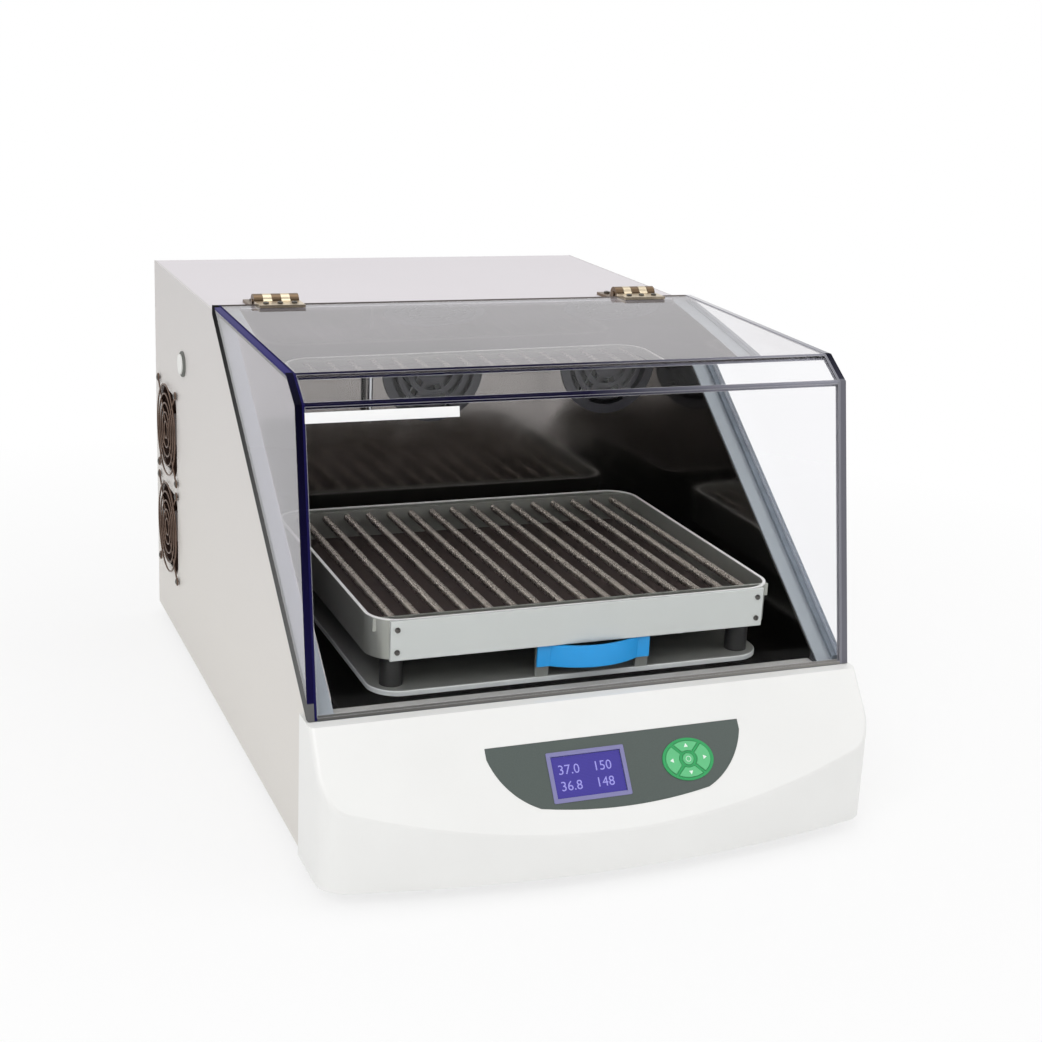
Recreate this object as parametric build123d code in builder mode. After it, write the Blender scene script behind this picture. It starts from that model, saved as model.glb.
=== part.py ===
from build123d import *
import os
from math import cos, hypot, pi, radians, sin, sqrt

# ---------------------------------------------------------------------------
# Incubated benchtop shaker. Millimetres, +Z up, the front faces -Y.
# The origin is on the bench, below the middle of the instrument.
# ---------------------------------------------------------------------------

# Housing
housing_width = 540.0
housing_rear = 413.0
housing_top = 443.3
foot_height = 12.0
sheet = 1.5
joint_gap = 0.3
bend_flange = 14.0
pan_flange = 18.0

# Mouth of the chamber: a slanted seat from the front lip up to the hinge line
lip_y = -318.0
lip_z = 146.0
hinge_line_y = 70.0
mouth_rear_z = 436.5
seat_width = 24.0

# Chamber liner
liner_sheet = 1.2
chamber_front = -296.0
chamber_rear = 92.0
chamber_floor = 124.0
chamber_ceiling_front = 58.0
liner_lip_z = 147.5

# Hood
hood_overhang = 3.0
acrylic = 6.0
hood_rear_y = 69.4
hood_rear_z = 450.6
crown_front_y = -238.0
crown_front_z = 445.5
chamfer_foot_y = -269.2
chamfer_foot_z = 425.0
hood_foot_y = -322.2
hood_foot_z = 153.0
seal_width = 8.0
seal_height = 4.0

# Hinges
hinge_x = 205.0
hinge_width = 48.0
hinge_leaf_depth = 44.0
hinge_leaf = 3.0
hinge_pin_radius = 3.0
hinge_pin_y = 79.0
knuckle_radius = 8.0
knuckle_count = 5
knuckle_relief = 1.0
moving_leaf_depth = 24.0
hinge_screw_from_pin = 28.0
hinge_screw_pitch_x = 30.0
hinge_screw_pitch_y = 17.0
hinge_screw_radius = 3.8
hinge_screw_head = 2.4
hinge_hole_radius = 2.4

# Front fascia
fascia_overhang = 5.0
fascia_bow_centre_y = -410.0
fascia_bow_side_y = -378.0
fascia_skirt_y = -300.0
fascia_bottom = 14.0
fascia_top = 152.6
fascia_wall = 3.0
fascia_corner_radius = 28.0
ledge_depth = 13.0
incline_rise = 4.0
incline_run = 3.0

# Control panel, measured down the incline from the ledge
overlay_x = 7.0
overlay_half_width = 127.0
overlay_start = 36.0
overlay_length = 67.0
overlay_sheet = 1.2
overlay_recess = 1.0
display_x = -25.5
display_down = 70.0
display_width = 77.0
display_height = 46.5
display_border = 4.0
keypad_x = 75.0
keypad_down = 68.0
keypad_radius = 26.0
keypad_short_radius = 20.0
key_travel = 0.8
key_gap = 0.35
centre_key_radius = 5.5
petal_inner_radius = 9.0
petal_inner_short_radius = 7.6
petal_outer_radius = 23.0
petal_outer_short_radius = 17.4
petal_bar = 2.4
board_standoff = 10.0

# Platform and its orbit
orbit_radius = 9.5
platform_width = 410.0
platform_depth = 353.0
platform_front_y = -288.0
platform_corner_radius = 30.0
rack_top = 227.4
rack_height = 38.2
rack_wall = 3.0
rack_floor_width = 14.0
front_bar_inset = 15.5
front_bar_thickness = 3.0
bar_screw_inset = 6.5
bar_screw_radius = 3.6
deck_top = 156.5
deck_thickness = 5.0
deck_inset = 4.0
post_radius = 11.0
post_inset = 26.0
tray_thickness = 2.0

# Springs of the rack
spring_count = 16
spring_side_gap = 25.0
spring_mean_radius = 3.0
spring_wire = 2.0
spring_curls = 6
spring_sides = 6
spring_height_below_top = 7.0
spring_bar_depth = 10.0
spring_bar_thickness = 3.0

# Pull handle under the front bar
handle_x = 14.0
handle_width = 116.0
handle_height = 21.0
handle_thickness = 3.0
handle_bow = 13.0
handle_pad = 13.0
handle_bottom = 167.5
handle_lug_thickness = 4.0

# Triple eccentric drive
drive_y = -160.0
idler_x = 110.0
idler_y = -50.0
shaft_radius = 10.0
crank_pin_radius = 8.0
idler_shaft_radius = 6.0
running_clearance = 0.05
open_pivot_clearance = 0.3
web_bottom = 127.5
web_thickness = 7.0
crank_web_radius = 26.0
idler_web_radius = 20.0
deck_hub_radius = 22.0
drive_plate_top = 108.0
drive_plate_thickness = 8.0
pulley_bottom = 62.0
pulley_height = 14.0
drive_pulley_radius = 60.0
motor_pulley_radius = 20.0
belt_thickness = 2.4
motor_y = 10.0
motor_radius = 44.0
motor_height = 40.0
counterweight_radius = 64.0
counterweight_height = 12.0

# Ventilation fans in the left side
fan_size = 119.0
fan_depth = 38.0
fan_bore_radius = 56.5
fan_hole_pitch = 105.0
fan_hole_radius = 2.2
fan_corner_radius = 6.0
fan_flange = 6.0
fan_corner_post = 15.0
fan_wall = 2.5
fan_strut_depth = 4.0
fan_strut_width = 6.0
fan_spindle_radius = 3.0
fan_spindle_length = 10.0
fan_hub_radius = 19.0
fan_blade_gap = 1.2
fan_window = 97.0
fan_window_corner = 14.0
fan_y = 333.0
fan_lower_z = 134.0
fan_upper_z = 254.5
fan_blades = 7
guard_rings = 5
guard_wire = 2.0
guard_stand_off = 2.4
guard_inner_radius = 10.0
guard_spoke_start = 8.0
guard_eye_radius = 5.0
guard_screw_radius = 3.6
guard_screw_head = 1.8

# Circulation fans in the back wall of the chamber
circulation_wall_gap = 61.0
circulation_pitch = 210.0
circulation_z = 370.0
circulation_guard_radius = 58.0
circulation_impeller_radius = 50.0
circulation_slots = 6
circulation_motor_radius = 28.0
circulation_motor_depth = 24.0

# Small fittings
port_y = 241.0
port_z = 353.0
port_radius = 14.5
port_bore_radius = 9.0
port_flange = 2.5
port_wall = 1.8
port_plug_lap = 2.4
port_plug_head = 1.9
port_plug_travel = 20.0
probe_x = -100.0
probe_radius = 3.0
probe_bend = 8.0
probe_stand_off = 12.0
probe_tail = 20.0
probe_top = 428.0
probe_bottom = 318.0
inlet_x = -150.0
inlet_z = 70.0
inlet_width = 48.0
inlet_height = 28.0
switch_pitch = 40.0
switch_width = 19.6
switch_height = 27.6
foot_radius = 19.0
foot_x = 205.0
foot_front_y = -240.0
foot_rear_y = 340.0

# ---------------------------------------------------------------------------
# Values worked out from the sizes above
# ---------------------------------------------------------------------------
housing_half = housing_width / 2
skin_inner = housing_half - sheet
chamber_half = housing_half - seat_width
hood_half_width = housing_half + hood_overhang
fascia_half_width = housing_half + fascia_overhang
circulation_right_x = chamber_half - circulation_wall_gap
circulation_x = (circulation_right_x - circulation_pitch, circulation_right_x)
front_bar_width = platform_width - 2 * front_bar_inset
bar_screw_x = front_bar_width / 2 - bar_screw_inset
spring_pitch = (platform_width - 2 * spring_side_gap) / (spring_count - 1)
seat_slope = (mouth_rear_z - lip_z) / (hinge_line_y - lip_y)
seat_rise = hypot(1.0, seat_slope)
seal_clear = (seal_height + joint_gap) * seat_rise
ledge_front_y = hood_foot_y - ledge_depth
incline_fall = incline_rise / incline_run
incline_length_unit = hypot(incline_rise, incline_run)
platform_middle_y = platform_front_y + platform_depth / 2
rack_bottom = rack_top - rack_height
deck_bottom = deck_top - deck_thickness
web_top = web_bottom + web_thickness
hinge_pin_z = housing_top + knuckle_radius + joint_gap

os.makedirs("parts", exist_ok=True)


def seat_z(y):
    """Height of the slanted seat of the mouth at a distance y."""
    return lip_z + seat_slope * (y - lip_y)


def seat_y(z):
    """Distance y at which the slanted seat has the height z."""
    return lip_y + (z - lip_z) / seat_slope


def incline_point(x, down, out=0.0):
    """Point on the fascia's incline: down the slope from the ledge, and out along its normal."""
    run = incline_run / incline_length_unit
    rise = incline_rise / incline_length_unit
    return (x, ledge_front_y - down * run - out * rise, fascia_top - down * rise + out * run)


def incline_plane(x, down, out=0.0):
    """Plane that lies on the incline, its local Y pointing up the slope."""
    normal = (0, -incline_rise, incline_run)
    return Plane(origin=incline_point(x, down, out), x_dir=(1, 0, 0), z_dir=normal)


# ---------------------------------------------------------------------------
# Housing sheet metal
# ---------------------------------------------------------------------------
pan_front = lip_y + sheet + joint_gap
pan_rear = housing_rear - sheet - joint_gap
pan_half = skin_inner - joint_gap
drive_leg_x = 135.0
drive_leg_front_y = drive_y - 75.0
drive_leg_rear_y = idler_y + 40.0
slot_width = 5.0
slot_length = 60.0
slot_pitch = 12.0
slot_rows = 8
vent_inset = 110.0
foot_screw_radius = 3.0

with BuildPart() as base_pan:
    with BuildSketch(Plane.XY.offset(foot_height)):
        with Locations((0, (pan_front + pan_rear) / 2)):
            Rectangle(2 * pan_half, pan_rear - pan_front)
    extrude(amount=pan_flange)
    offset(amount=-sheet, openings=base_pan.faces().sort_by(Axis.Z)[-1])
    with BuildSketch(Plane.XY.offset(foot_height)):
        with Locations((0, housing_rear - vent_inset)):
            with GridLocations(0, slot_pitch, 1, slot_rows):
                SlotOverall(slot_length, slot_width)
        for side in (-1, 1):
            for y in (foot_front_y, foot_rear_y):
                with Locations((side * foot_x, y)):
                    Circle(foot_screw_radius)
    extrude(amount=sheet, mode=Mode.SUBTRACT)
base_pan.part.label = "base_pan"
export_step(base_pan.part, "parts/base_pan.step")

with BuildPart() as feet:
    with BuildSketch(Plane.XZ):
        with BuildLine():
            Polyline(
                (5.0, 0),
                (foot_radius - 1.5, 0),
                (foot_radius, 1.5),
                (foot_radius - 3.0, foot_height),
                (0, foot_height),
                (0, 5.0),
                (5.0, 5.0),
                close=True,
            )
        make_face()
    revolve(axis=Axis.Z)
foot_places = [Location((side * foot_x, y, 0)) for side in (-1, 1) for y in (foot_front_y, foot_rear_y)]
feet_set = Compound(label="feet", children=[feet.part.moved(place) for place in foot_places])
export_step(feet_set, "parts/feet.step")


def side_panel(side):
    """Outer side skin of the housing with its slanted seat flange; side is -1 left, 1 right."""
    outer = side * housing_half
    seat_front_y = seat_y(hood_foot_z - 1.0)
    with BuildPart() as panel:
        with BuildSketch(Plane.YZ.offset(outer)):
            with BuildLine():
                Polyline(
                    (lip_y, foot_height),
                    (housing_rear, foot_height),
                    (housing_rear, housing_top),
                    (hinge_line_y, housing_top),
                    (hinge_line_y, mouth_rear_z),
                    (lip_y, lip_z),
                    close=True,
                )
            make_face()
        extrude(amount=-side * sheet)
        with BuildSketch(Plane.YZ.offset(outer)):
            with BuildLine():
                Polyline(
                    (seat_front_y, seat_z(seat_front_y)),
                    (hinge_line_y, mouth_rear_z),
                    (hinge_line_y, mouth_rear_z - sheet * seat_rise),
                    (seat_front_y, seat_z(seat_front_y) - sheet * seat_rise),
                    close=True,
                )
            make_face()
        extrude(amount=-side * seat_width)
        with BuildSketch(Plane.YZ.offset(side * skin_inner)):
            with Locations(((hinge_line_y + housing_rear) / 2, housing_top - 1.5 * sheet)):
                Rectangle(housing_rear - hinge_line_y - 2 * bend_flange, sheet)
        extrude(amount=-side * bend_flange)
        with BuildSketch(Plane.YZ.offset(side * skin_inner)):
            with Locations((housing_rear - 1.5 * sheet - joint_gap, (foot_height + housing_top) / 2)):
                Rectangle(sheet, housing_top - foot_height - 4 * pan_flange)
        extrude(amount=-side * bend_flange)
    return panel


with BuildPart() as left_side_panel:
    add(side_panel(-1).part)
    with BuildSketch(Plane.YZ.offset(-housing_half)):
        for z in (fan_lower_z, fan_upper_z):
            with Locations((fan_y, z)):
                RectangleRounded(fan_window, fan_window, fan_window_corner)
                with GridLocations(fan_hole_pitch, fan_hole_pitch, 2, 2):
                    Circle(fan_hole_radius)
        with Locations((port_y, port_z)):
            Circle(port_bore_radius + 2.0)
    extrude(amount=sheet, mode=Mode.SUBTRACT)
left_side_panel.part.label = "left_side_panel"
export_step(left_side_panel.part, "parts/left_side_panel.step")

right_side_panel = side_panel(1)
right_side_panel.part.label = "right_side_panel"
export_step(right_side_panel.part, "parts/right_side_panel.step")

rail_z = housing_top - 3.0
with BuildPart() as top_cover:
    with BuildSketch(Plane.YZ):
        with BuildLine():
            Polyline(
                (pan_rear, housing_top),
                (hinge_line_y, housing_top),
                (hinge_line_y, rail_z),
                (chamber_ceiling_front, rail_z),
                (chamber_ceiling_front, rail_z - sheet),
                (hinge_line_y + sheet, rail_z - sheet),
                (hinge_line_y + sheet, housing_top - sheet),
                (pan_rear, housing_top - sheet),
                close=True,
            )
        make_face()
    extrude(amount=pan_half, both=True)
    with BuildSketch(Plane.XY.offset(rail_z)):
        for side in (-1, 1):
            with Locations((side * housing_half, hinge_line_y - 10)):
                Rectangle(2 * (seat_width + liner_sheet), 20)
    extrude(amount=-2 * sheet, mode=Mode.SUBTRACT)
top_cover.part.label = "top_cover"
export_step(top_cover.part, "parts/top_cover.step")

louvre_width = 90.0
louvre_pitch = 14.0
louvre_rows = 8
louvre_x = 150.0
louvre_z = 300.0
with BuildPart() as rear_panel:
    with BuildSketch(Plane.XZ.offset(-housing_rear)):
        with Locations((0, (foot_height + sheet + housing_top - sheet) / 2)):
            Rectangle(2 * pan_half, housing_top - foot_height - 2 * sheet - 2 * joint_gap)
    extrude(amount=sheet)
    with BuildSketch(Plane.XZ.offset(-housing_rear)):
        with Locations((louvre_x, louvre_z), (0, louvre_z)):
            with GridLocations(0, louvre_pitch, 1, louvre_rows):
                SlotOverall(louvre_width, slot_width)
        with Locations((inlet_x, inlet_z)):
            Rectangle(inlet_width, inlet_height)
        with Locations((inlet_x + switch_pitch, inlet_z)):
            Rectangle(switch_width, switch_height)
    extrude(amount=sheet, mode=Mode.SUBTRACT)
rear_panel.part.label = "rear_panel"
export_step(rear_panel.part, "parts/rear_panel.step")

# ---------------------------------------------------------------------------
# Chamber
# ---------------------------------------------------------------------------
liner_ceiling = rail_z - sheet - joint_gap
lip_cut = 40.0
liner_mouth_front_z = seat_z(chamber_front) - (sheet + joint_gap) * seat_rise
liner_mouth_rear_z = seat_z(chamber_ceiling_front) - (sheet + joint_gap) * seat_rise

with BuildPart() as liner_shell:
    with BuildSketch(Plane.YZ.offset(-chamber_half)):
        with BuildLine():
            Polyline(
                (chamber_front, chamber_floor - liner_sheet),
                (chamber_rear + liner_sheet, chamber_floor - liner_sheet),
                (chamber_rear + liner_sheet, liner_ceiling),
                (chamber_ceiling_front, liner_ceiling),
                (chamber_ceiling_front, liner_mouth_rear_z),
                (chamber_front, liner_mouth_front_z),
                close=True,
            )
        make_face()
    extrude(amount=2 * chamber_half)
    mouth = liner_shell.faces().filter_by(lambda f: f.normal_at().Z > 0.5 and f.normal_at().Y < -0.5)
    step = liner_shell.faces().filter_by(Axis.Y).sort_by(Axis.Y)[1]
    offset(amount=-liner_sheet, openings=[mouth[0], step])
    with BuildSketch(Plane.XZ.offset(-chamber_front - lip_cut / 2)):
        with Locations((0, liner_lip_z + lip_cut)):
            Rectangle(2 * (chamber_half - liner_sheet), 2 * lip_cut)
    extrude(amount=lip_cut, mode=Mode.SUBTRACT)
    with BuildSketch(Plane.XY.offset(chamber_floor)):
        with Locations((0, drive_y)):
            Circle(crank_web_radius + 2.0)
        with Locations((-idler_x, idler_y), (idler_x, idler_y)):
            Circle(idler_web_radius + 2.0)
    extrude(amount=-liner_sheet, mode=Mode.SUBTRACT)
    with BuildSketch(Plane.XZ.offset(-chamber_rear)):
        for x in circulation_x:
            with Locations((x, circulation_z)):
                Circle(circulation_impeller_radius + 3)
        with Locations((probe_x, probe_top)):
            Circle(probe_radius + 0.5)
    extrude(amount=-liner_sheet, mode=Mode.SUBTRACT)
    split(bisect_by=Plane.YZ.offset(liner_sheet - chamber_half), keep=Keep.BOTH)
    split(bisect_by=Plane.YZ.offset(chamber_half - liner_sheet), keep=Keep.BOTH)
left_wall, liner_trough, right_wall = liner_shell.solids().sort_by(Axis.X)

with BuildPart() as liner_sheets:
    add(liner_trough)
    split(bisect_by=Plane.XY.offset(chamber_floor), keep=Keep.BOTH)
    split(bisect_by=Plane.XY.offset(liner_ceiling - liner_sheet), keep=Keep.BOTH)
chamber_liner = Compound(label="chamber_liner", children=[left_wall, right_wall, *liner_sheets.solids()])
export_step(chamber_liner, "parts/chamber_liner.step")

insulation_rear = chamber_rear + 62.0
insulation_thickness = 20.0
with BuildPart() as insulation:
    for side in (-1, 1):
        with BuildSketch(Plane.YZ.offset(side * (chamber_half + joint_gap))):
            with BuildLine():
                Polyline(
                    (chamber_front, chamber_floor),
                    (insulation_rear + insulation_thickness, chamber_floor),
                    (insulation_rear + insulation_thickness, rail_z - 8 * sheet),
                    (hinge_line_y - 2.0, seat_z(hinge_line_y - 2.0) - 6.0),
                    (chamber_front, seat_z(chamber_front) - 6.0),
                    close=True,
                )
            make_face()
        extrude(amount=side * (seat_width - sheet - 2 * joint_gap))
    with BuildSketch(Plane.XZ.offset(-insulation_rear)):
        with Locations((0, (chamber_floor + liner_ceiling) / 2)):
            Rectangle(2 * chamber_half, liner_ceiling - chamber_floor - 4)
    extrude(amount=-insulation_thickness)
insulation.part.label = "insulation"
export_step(insulation.part, "parts/insulation.step")

trim_wall = 2.0
trim_drop = 10.0
trim_top = hood_foot_z - seal_height + 1.0
with BuildPart() as lip_trim:
    with BuildSketch(Plane.YZ.offset(-pan_half)):
        with BuildLine():
            Polyline(
                (hood_foot_y, trim_top - trim_drop),
                (hood_foot_y, trim_top),
                (chamber_front + liner_sheet + trim_wall + 0.2, trim_top),
                (chamber_front + liner_sheet + trim_wall + 0.2, trim_top - trim_drop),
                (chamber_front + liner_sheet + 0.2, trim_top - trim_drop),
                (chamber_front + liner_sheet + 0.2, trim_top - trim_wall),
                (hood_foot_y + trim_wall, trim_top - trim_wall),
                (hood_foot_y + trim_wall, trim_top - trim_drop),
                close=True,
            )
        make_face()
    extrude(amount=2 * pan_half)
    with BuildSketch(Plane.XY.offset(trim_top)):
        for side in (-1, 1):
            with Locations((side * housing_half, chamber_front)):
                Rectangle(2 * (seat_width + liner_sheet + 0.2), 2 * (chamber_front - seat_y(trim_top)))
            with Locations((side * housing_half, (lip_y + hood_foot_y) / 2 - 5)):
                Rectangle(2 * (sheet + joint_gap), 20)
    extrude(amount=-trim_drop, mode=Mode.SUBTRACT)
lip_trim.part.label = "lip_trim"
export_step(lip_trim.part, "parts/lip_trim.step")

seal_front_y = seat_y(trim_top) + 3.0
seal_rear_y = chamber_ceiling_front
with BuildPart() as hood_seals:
    for side in (-1, 1):
        with BuildSketch(Plane.YZ.offset(side * housing_half)):
            with BuildLine():
                Polyline(
                    (seal_front_y, seat_z(seal_front_y)),
                    (seal_rear_y, seat_z(seal_rear_y)),
                    (seal_rear_y, seat_z(seal_rear_y) + seal_height * seat_rise),
                    (seal_front_y, seat_z(seal_front_y) + seal_height * seat_rise),
                    close=True,
                )
            make_face()
        extrude(amount=-side * seal_width)
    with BuildSketch(Plane.XY.offset(trim_top)):
        with Locations((0, hood_foot_y + 0.7 + seal_width / 2)):
            Rectangle(2 * (housing_half - seal_width), seal_width)
    extrude(amount=hood_foot_z - trim_top - joint_gap)
    with BuildSketch(Plane.XY.offset(rail_z)):
        with Locations((0, hinge_line_y - 6)):
            Rectangle(2 * (chamber_half - liner_sheet - 1.0), seal_width)
    extrude(amount=hood_rear_z - acrylic - joint_gap - rail_z - 0.2)
hood_seals.part.label = "hood_seals"
export_step(hood_seals.part, "parts/hood_seals.step")

with BuildPart() as temperature_probe:
    rod_y = chamber_rear - probe_stand_off
    with BuildLine() as probe_path:
        FilletPolyline(
            (probe_x, chamber_rear + probe_tail, probe_top),
            (probe_x, rod_y, probe_top),
            (probe_x, rod_y, probe_bottom),
            radius=probe_bend,
        )
    with BuildSketch(Plane(origin=probe_path.line @ 0, z_dir=probe_path.line % 0)):
        Circle(probe_radius)
    sweep()
temperature_probe.part.label = "temperature_probe"
export_step(temperature_probe.part, "parts/temperature_probe.step")

# ---------------------------------------------------------------------------
# Hood: one bent clear canopy between two clear side sheets
# ---------------------------------------------------------------------------
hood_outline = [
    (hood_rear_y, hood_rear_z),
    (crown_front_y, crown_front_z),
    (chamfer_foot_y, chamfer_foot_z),
    (hood_foot_y, hood_foot_z),
]

with BuildPart() as hood_canopy:
    with BuildSketch(Plane.YZ):
        with BuildLine():
            Polyline(*hood_outline)
            offset(amount=acrylic, side=Side.LEFT, kind=Kind.INTERSECTION)
        make_face()
    extrude(amount=hood_half_width - acrylic, both=True)
    with BuildSketch(Plane.XY.offset(hood_foot_z)):
        with Locations((0, hood_foot_y)):
            Rectangle(2 * hood_half_width, 8 * acrylic)
    extrude(amount=-2 * acrylic, mode=Mode.SUBTRACT)
hood_canopy.part.label = "hood_canopy"
export_step(hood_canopy.part, "parts/hood_canopy.step")


def hood_side(side):
    """Clear side sheet of the hood, its lower edge parallel to the slanted seat."""
    foot_corner_y = seat_y(hood_foot_z - seal_clear)
    with BuildPart() as pane:
        with BuildSketch(Plane.YZ.offset(side * hood_half_width)):
            with BuildLine():
                Polyline(
                    *hood_outline,
                    (foot_corner_y, hood_foot_z),
                    (hood_rear_y, seat_z(hood_rear_y) + seal_clear),
                    close=True,
                )
            make_face()
        extrude(amount=-side * acrylic)
    return pane


hood_left_side = hood_side(-1)
hood_left_side.part.label = "hood_left_side"
export_step(hood_left_side.part, "parts/hood_left_side.step")

hood_right_side = hood_side(1)
hood_right_side.part.label = "hood_right_side"
export_step(hood_right_side.part, "parts/hood_right_side.step")

# ---------------------------------------------------------------------------
# Hinges: five knuckles round a fixed pin, three on the housing and two on the hood
# ---------------------------------------------------------------------------
knuckle_pitch = hinge_width / knuckle_count
leaf_top = housing_top + hinge_leaf


def knuckles(centre_x, wanted):
    """Knuckle barrels of one hinge, those whose index is in wanted."""
    with BuildPart() as barrels:
        for index in wanted:
            start = centre_x - hinge_width / 2 + index * knuckle_pitch
            with BuildSketch(Plane.YZ.offset(start + joint_gap / 2)):
                with Locations((hinge_pin_y, hinge_pin_z)):
                    Circle(knuckle_radius)
            extrude(amount=knuckle_pitch - joint_gap)
    return barrels.part


with BuildPart() as hinge_fixed_leaves:
    for side in (-1, 1):
        centre_x = side * hinge_x
        with BuildSketch(Plane.XY.offset(housing_top)):
            with Locations((centre_x, hinge_pin_y + hinge_leaf_depth / 2)):
                Rectangle(hinge_width, hinge_leaf_depth)
        extrude(amount=hinge_leaf)
        with BuildSketch(Plane.XY.offset(housing_top)):
            for index in (1, 3):
                place_x = centre_x - hinge_width / 2 + (index + 0.5) * knuckle_pitch
                with Locations((place_x, hinge_pin_y)):
                    Rectangle(knuckle_pitch + joint_gap, 2 * (knuckle_radius + knuckle_relief))
            with Locations((centre_x, hinge_pin_y + hinge_screw_from_pin)):
                with GridLocations(hinge_screw_pitch_x, hinge_screw_pitch_y, 2, 2):
                    Circle(hinge_hole_radius)
        extrude(amount=hinge_leaf, mode=Mode.SUBTRACT)
        add(knuckles(centre_x, (0, 2, 4)))
        with BuildSketch(Plane.YZ.offset(centre_x)):
            with Locations((hinge_pin_y, hinge_pin_z)):
                Circle(hinge_pin_radius + running_clearance)
        extrude(amount=hinge_width, both=True, mode=Mode.SUBTRACT)
        with BuildSketch(Plane.YZ.offset(centre_x)):
            with Locations((hinge_pin_y, hinge_pin_z)):
                Circle(hinge_pin_radius)
        extrude(amount=hinge_width / 2 + 1.0, both=True)
hinge_fixed_leaves.part.label = "hinge_fixed_leaves"
export_step(hinge_fixed_leaves.part, "parts/hinge_fixed_leaves.step")

with BuildPart() as hinge_moving_leaves:
    for side in (-1, 1):
        centre_x = side * hinge_x
        with BuildSketch(Plane.XY.offset(hood_rear_z)):
            with Locations((centre_x, hood_rear_y - moving_leaf_depth / 2)):
                Rectangle(hinge_width, moving_leaf_depth)
        extrude(amount=hinge_leaf)
        for index in (1, 3):
            start = centre_x - hinge_width / 2 + index * knuckle_pitch
            with BuildSketch(Plane.YZ.offset(start + joint_gap / 2)):
                with BuildLine():
                    Polyline(
                        (hood_rear_y, hood_rear_z),
                        (hood_rear_y, hood_rear_z + hinge_leaf),
                        (hinge_pin_y, hinge_pin_z + knuckle_radius),
                        (hinge_pin_y, hinge_pin_z),
                        (hinge_pin_y - knuckle_radius, hinge_pin_z),
                        close=True,
                    )
                make_face()
            extrude(amount=knuckle_pitch - joint_gap)
        add(knuckles(centre_x, (1, 3)))
        with BuildSketch(Plane.YZ.offset(centre_x)):
            with Locations((hinge_pin_y, hinge_pin_z)):
                Circle(hinge_pin_radius + running_clearance)
        extrude(amount=hinge_width, both=True, mode=Mode.SUBTRACT)
hinge_moving_leaves.part.label = "hinge_moving_leaves"
export_step(hinge_moving_leaves.part, "parts/hinge_moving_leaves.step")

# ---------------------------------------------------------------------------
# Front fascia and control panel
# ---------------------------------------------------------------------------
cavity_half = fascia_half_width - fascia_wall
incline_cut_y = fascia_bow_centre_y - 60

with BuildPart() as front_fascia:
    with BuildSketch(Plane.XY.offset(fascia_bottom)) as fascia_plan:
        with BuildLine():
            ThreePointArc(
                (-fascia_half_width, fascia_bow_side_y),
                (0, fascia_bow_centre_y),
                (fascia_half_width, fascia_bow_side_y),
            )
            Polyline(
                (fascia_half_width, fascia_bow_side_y),
                (fascia_half_width, fascia_skirt_y),
                (-fascia_half_width, fascia_skirt_y),
                (-fascia_half_width, fascia_bow_side_y),
            )
        make_face()
        fillet(fascia_plan.vertices().group_by(Axis.Y)[0], radius=fascia_corner_radius)
    extrude(amount=fascia_top - fascia_bottom)
    with BuildSketch(Plane.YZ):
        with BuildLine():
            Polyline(
                (ledge_front_y, fascia_top),
                (ledge_front_y, fascia_top + 60),
                (incline_cut_y, fascia_top + 60),
                (incline_cut_y, fascia_top - (ledge_front_y - incline_cut_y) * incline_fall),
                close=True,
            )
        make_face()
    extrude(amount=2 * fascia_half_width, both=True, mode=Mode.SUBTRACT)
    crease = front_fascia.faces().filter_by(lambda f: abs(f.normal_at().Z - 0.6) < 0.01)[0]
    fillet(crease.edges().sort_by(Axis.Z)[:-1], radius=5.0)
    back = front_fascia.faces().filter_by(Axis.Y).sort_by(Axis.Y)[-1]
    offset(amount=-fascia_wall, openings=back)
    with BuildSketch(Plane.XY):
        with Locations((0, (hood_foot_y - joint_gap + fascia_skirt_y + 5) / 2)):
            Rectangle(2 * cavity_half, fascia_skirt_y + 5 - hood_foot_y + joint_gap)
    extrude(amount=200, mode=Mode.SUBTRACT)


def overlay_outline(grow):
    """D-shaped outline of the control overlay in the plane of the incline, y up the slope."""
    half = overlay_half_width + grow
    top = grow
    bottom = -overlay_length - grow
    shoulder = -0.15 * overlay_length
    with BuildSketch() as outline:
        with BuildLine():
            Polyline((-half, shoulder), (-half, top), (half, top), (half, shoulder))
            ThreePointArc((half, shoulder), (0.87 * half, 0.6 * bottom), (0.66 * half, 0.89 * bottom))
            ThreePointArc((0.66 * half, 0.89 * bottom), (0, bottom), (-0.66 * half, 0.89 * bottom))
            ThreePointArc((-0.66 * half, 0.89 * bottom), (-0.87 * half, 0.6 * bottom), (-half, shoulder))
        make_face()
    return outline.sketch


panel_fit = 0.1
overlay_plane = incline_plane(overlay_x, overlay_start)
display_plane = incline_plane(display_x, display_down)
keypad_plane = incline_plane(keypad_x, keypad_down)
board_holes = (2 * overlay_half_width - 30.0, 0.55 * overlay_length)
board_plane = incline_plane(overlay_x, overlay_start + overlay_length / 2)

with front_fascia:
    with BuildSketch(overlay_plane):
        add(overlay_outline(0.2))
    extrude(amount=-overlay_recess, mode=Mode.SUBTRACT)
    with BuildSketch(display_plane):
        Rectangle(display_width - 2 * display_border, display_height - 2 * display_border)
    extrude(amount=-2 * fascia_wall, mode=Mode.SUBTRACT)
    with BuildSketch(keypad_plane):
        Ellipse(keypad_radius + panel_fit, keypad_short_radius + panel_fit)
    extrude(amount=-2 * fascia_wall, mode=Mode.SUBTRACT)
    with BuildSketch(board_plane.offset(-fascia_wall)):
        with GridLocations(*board_holes, 2, 2):
            Circle(4.0)
    extrude(amount=-board_standoff)
front_fascia.part.label = "front_fascia"
export_step(front_fascia.part, "parts/front_fascia.step")

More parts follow.
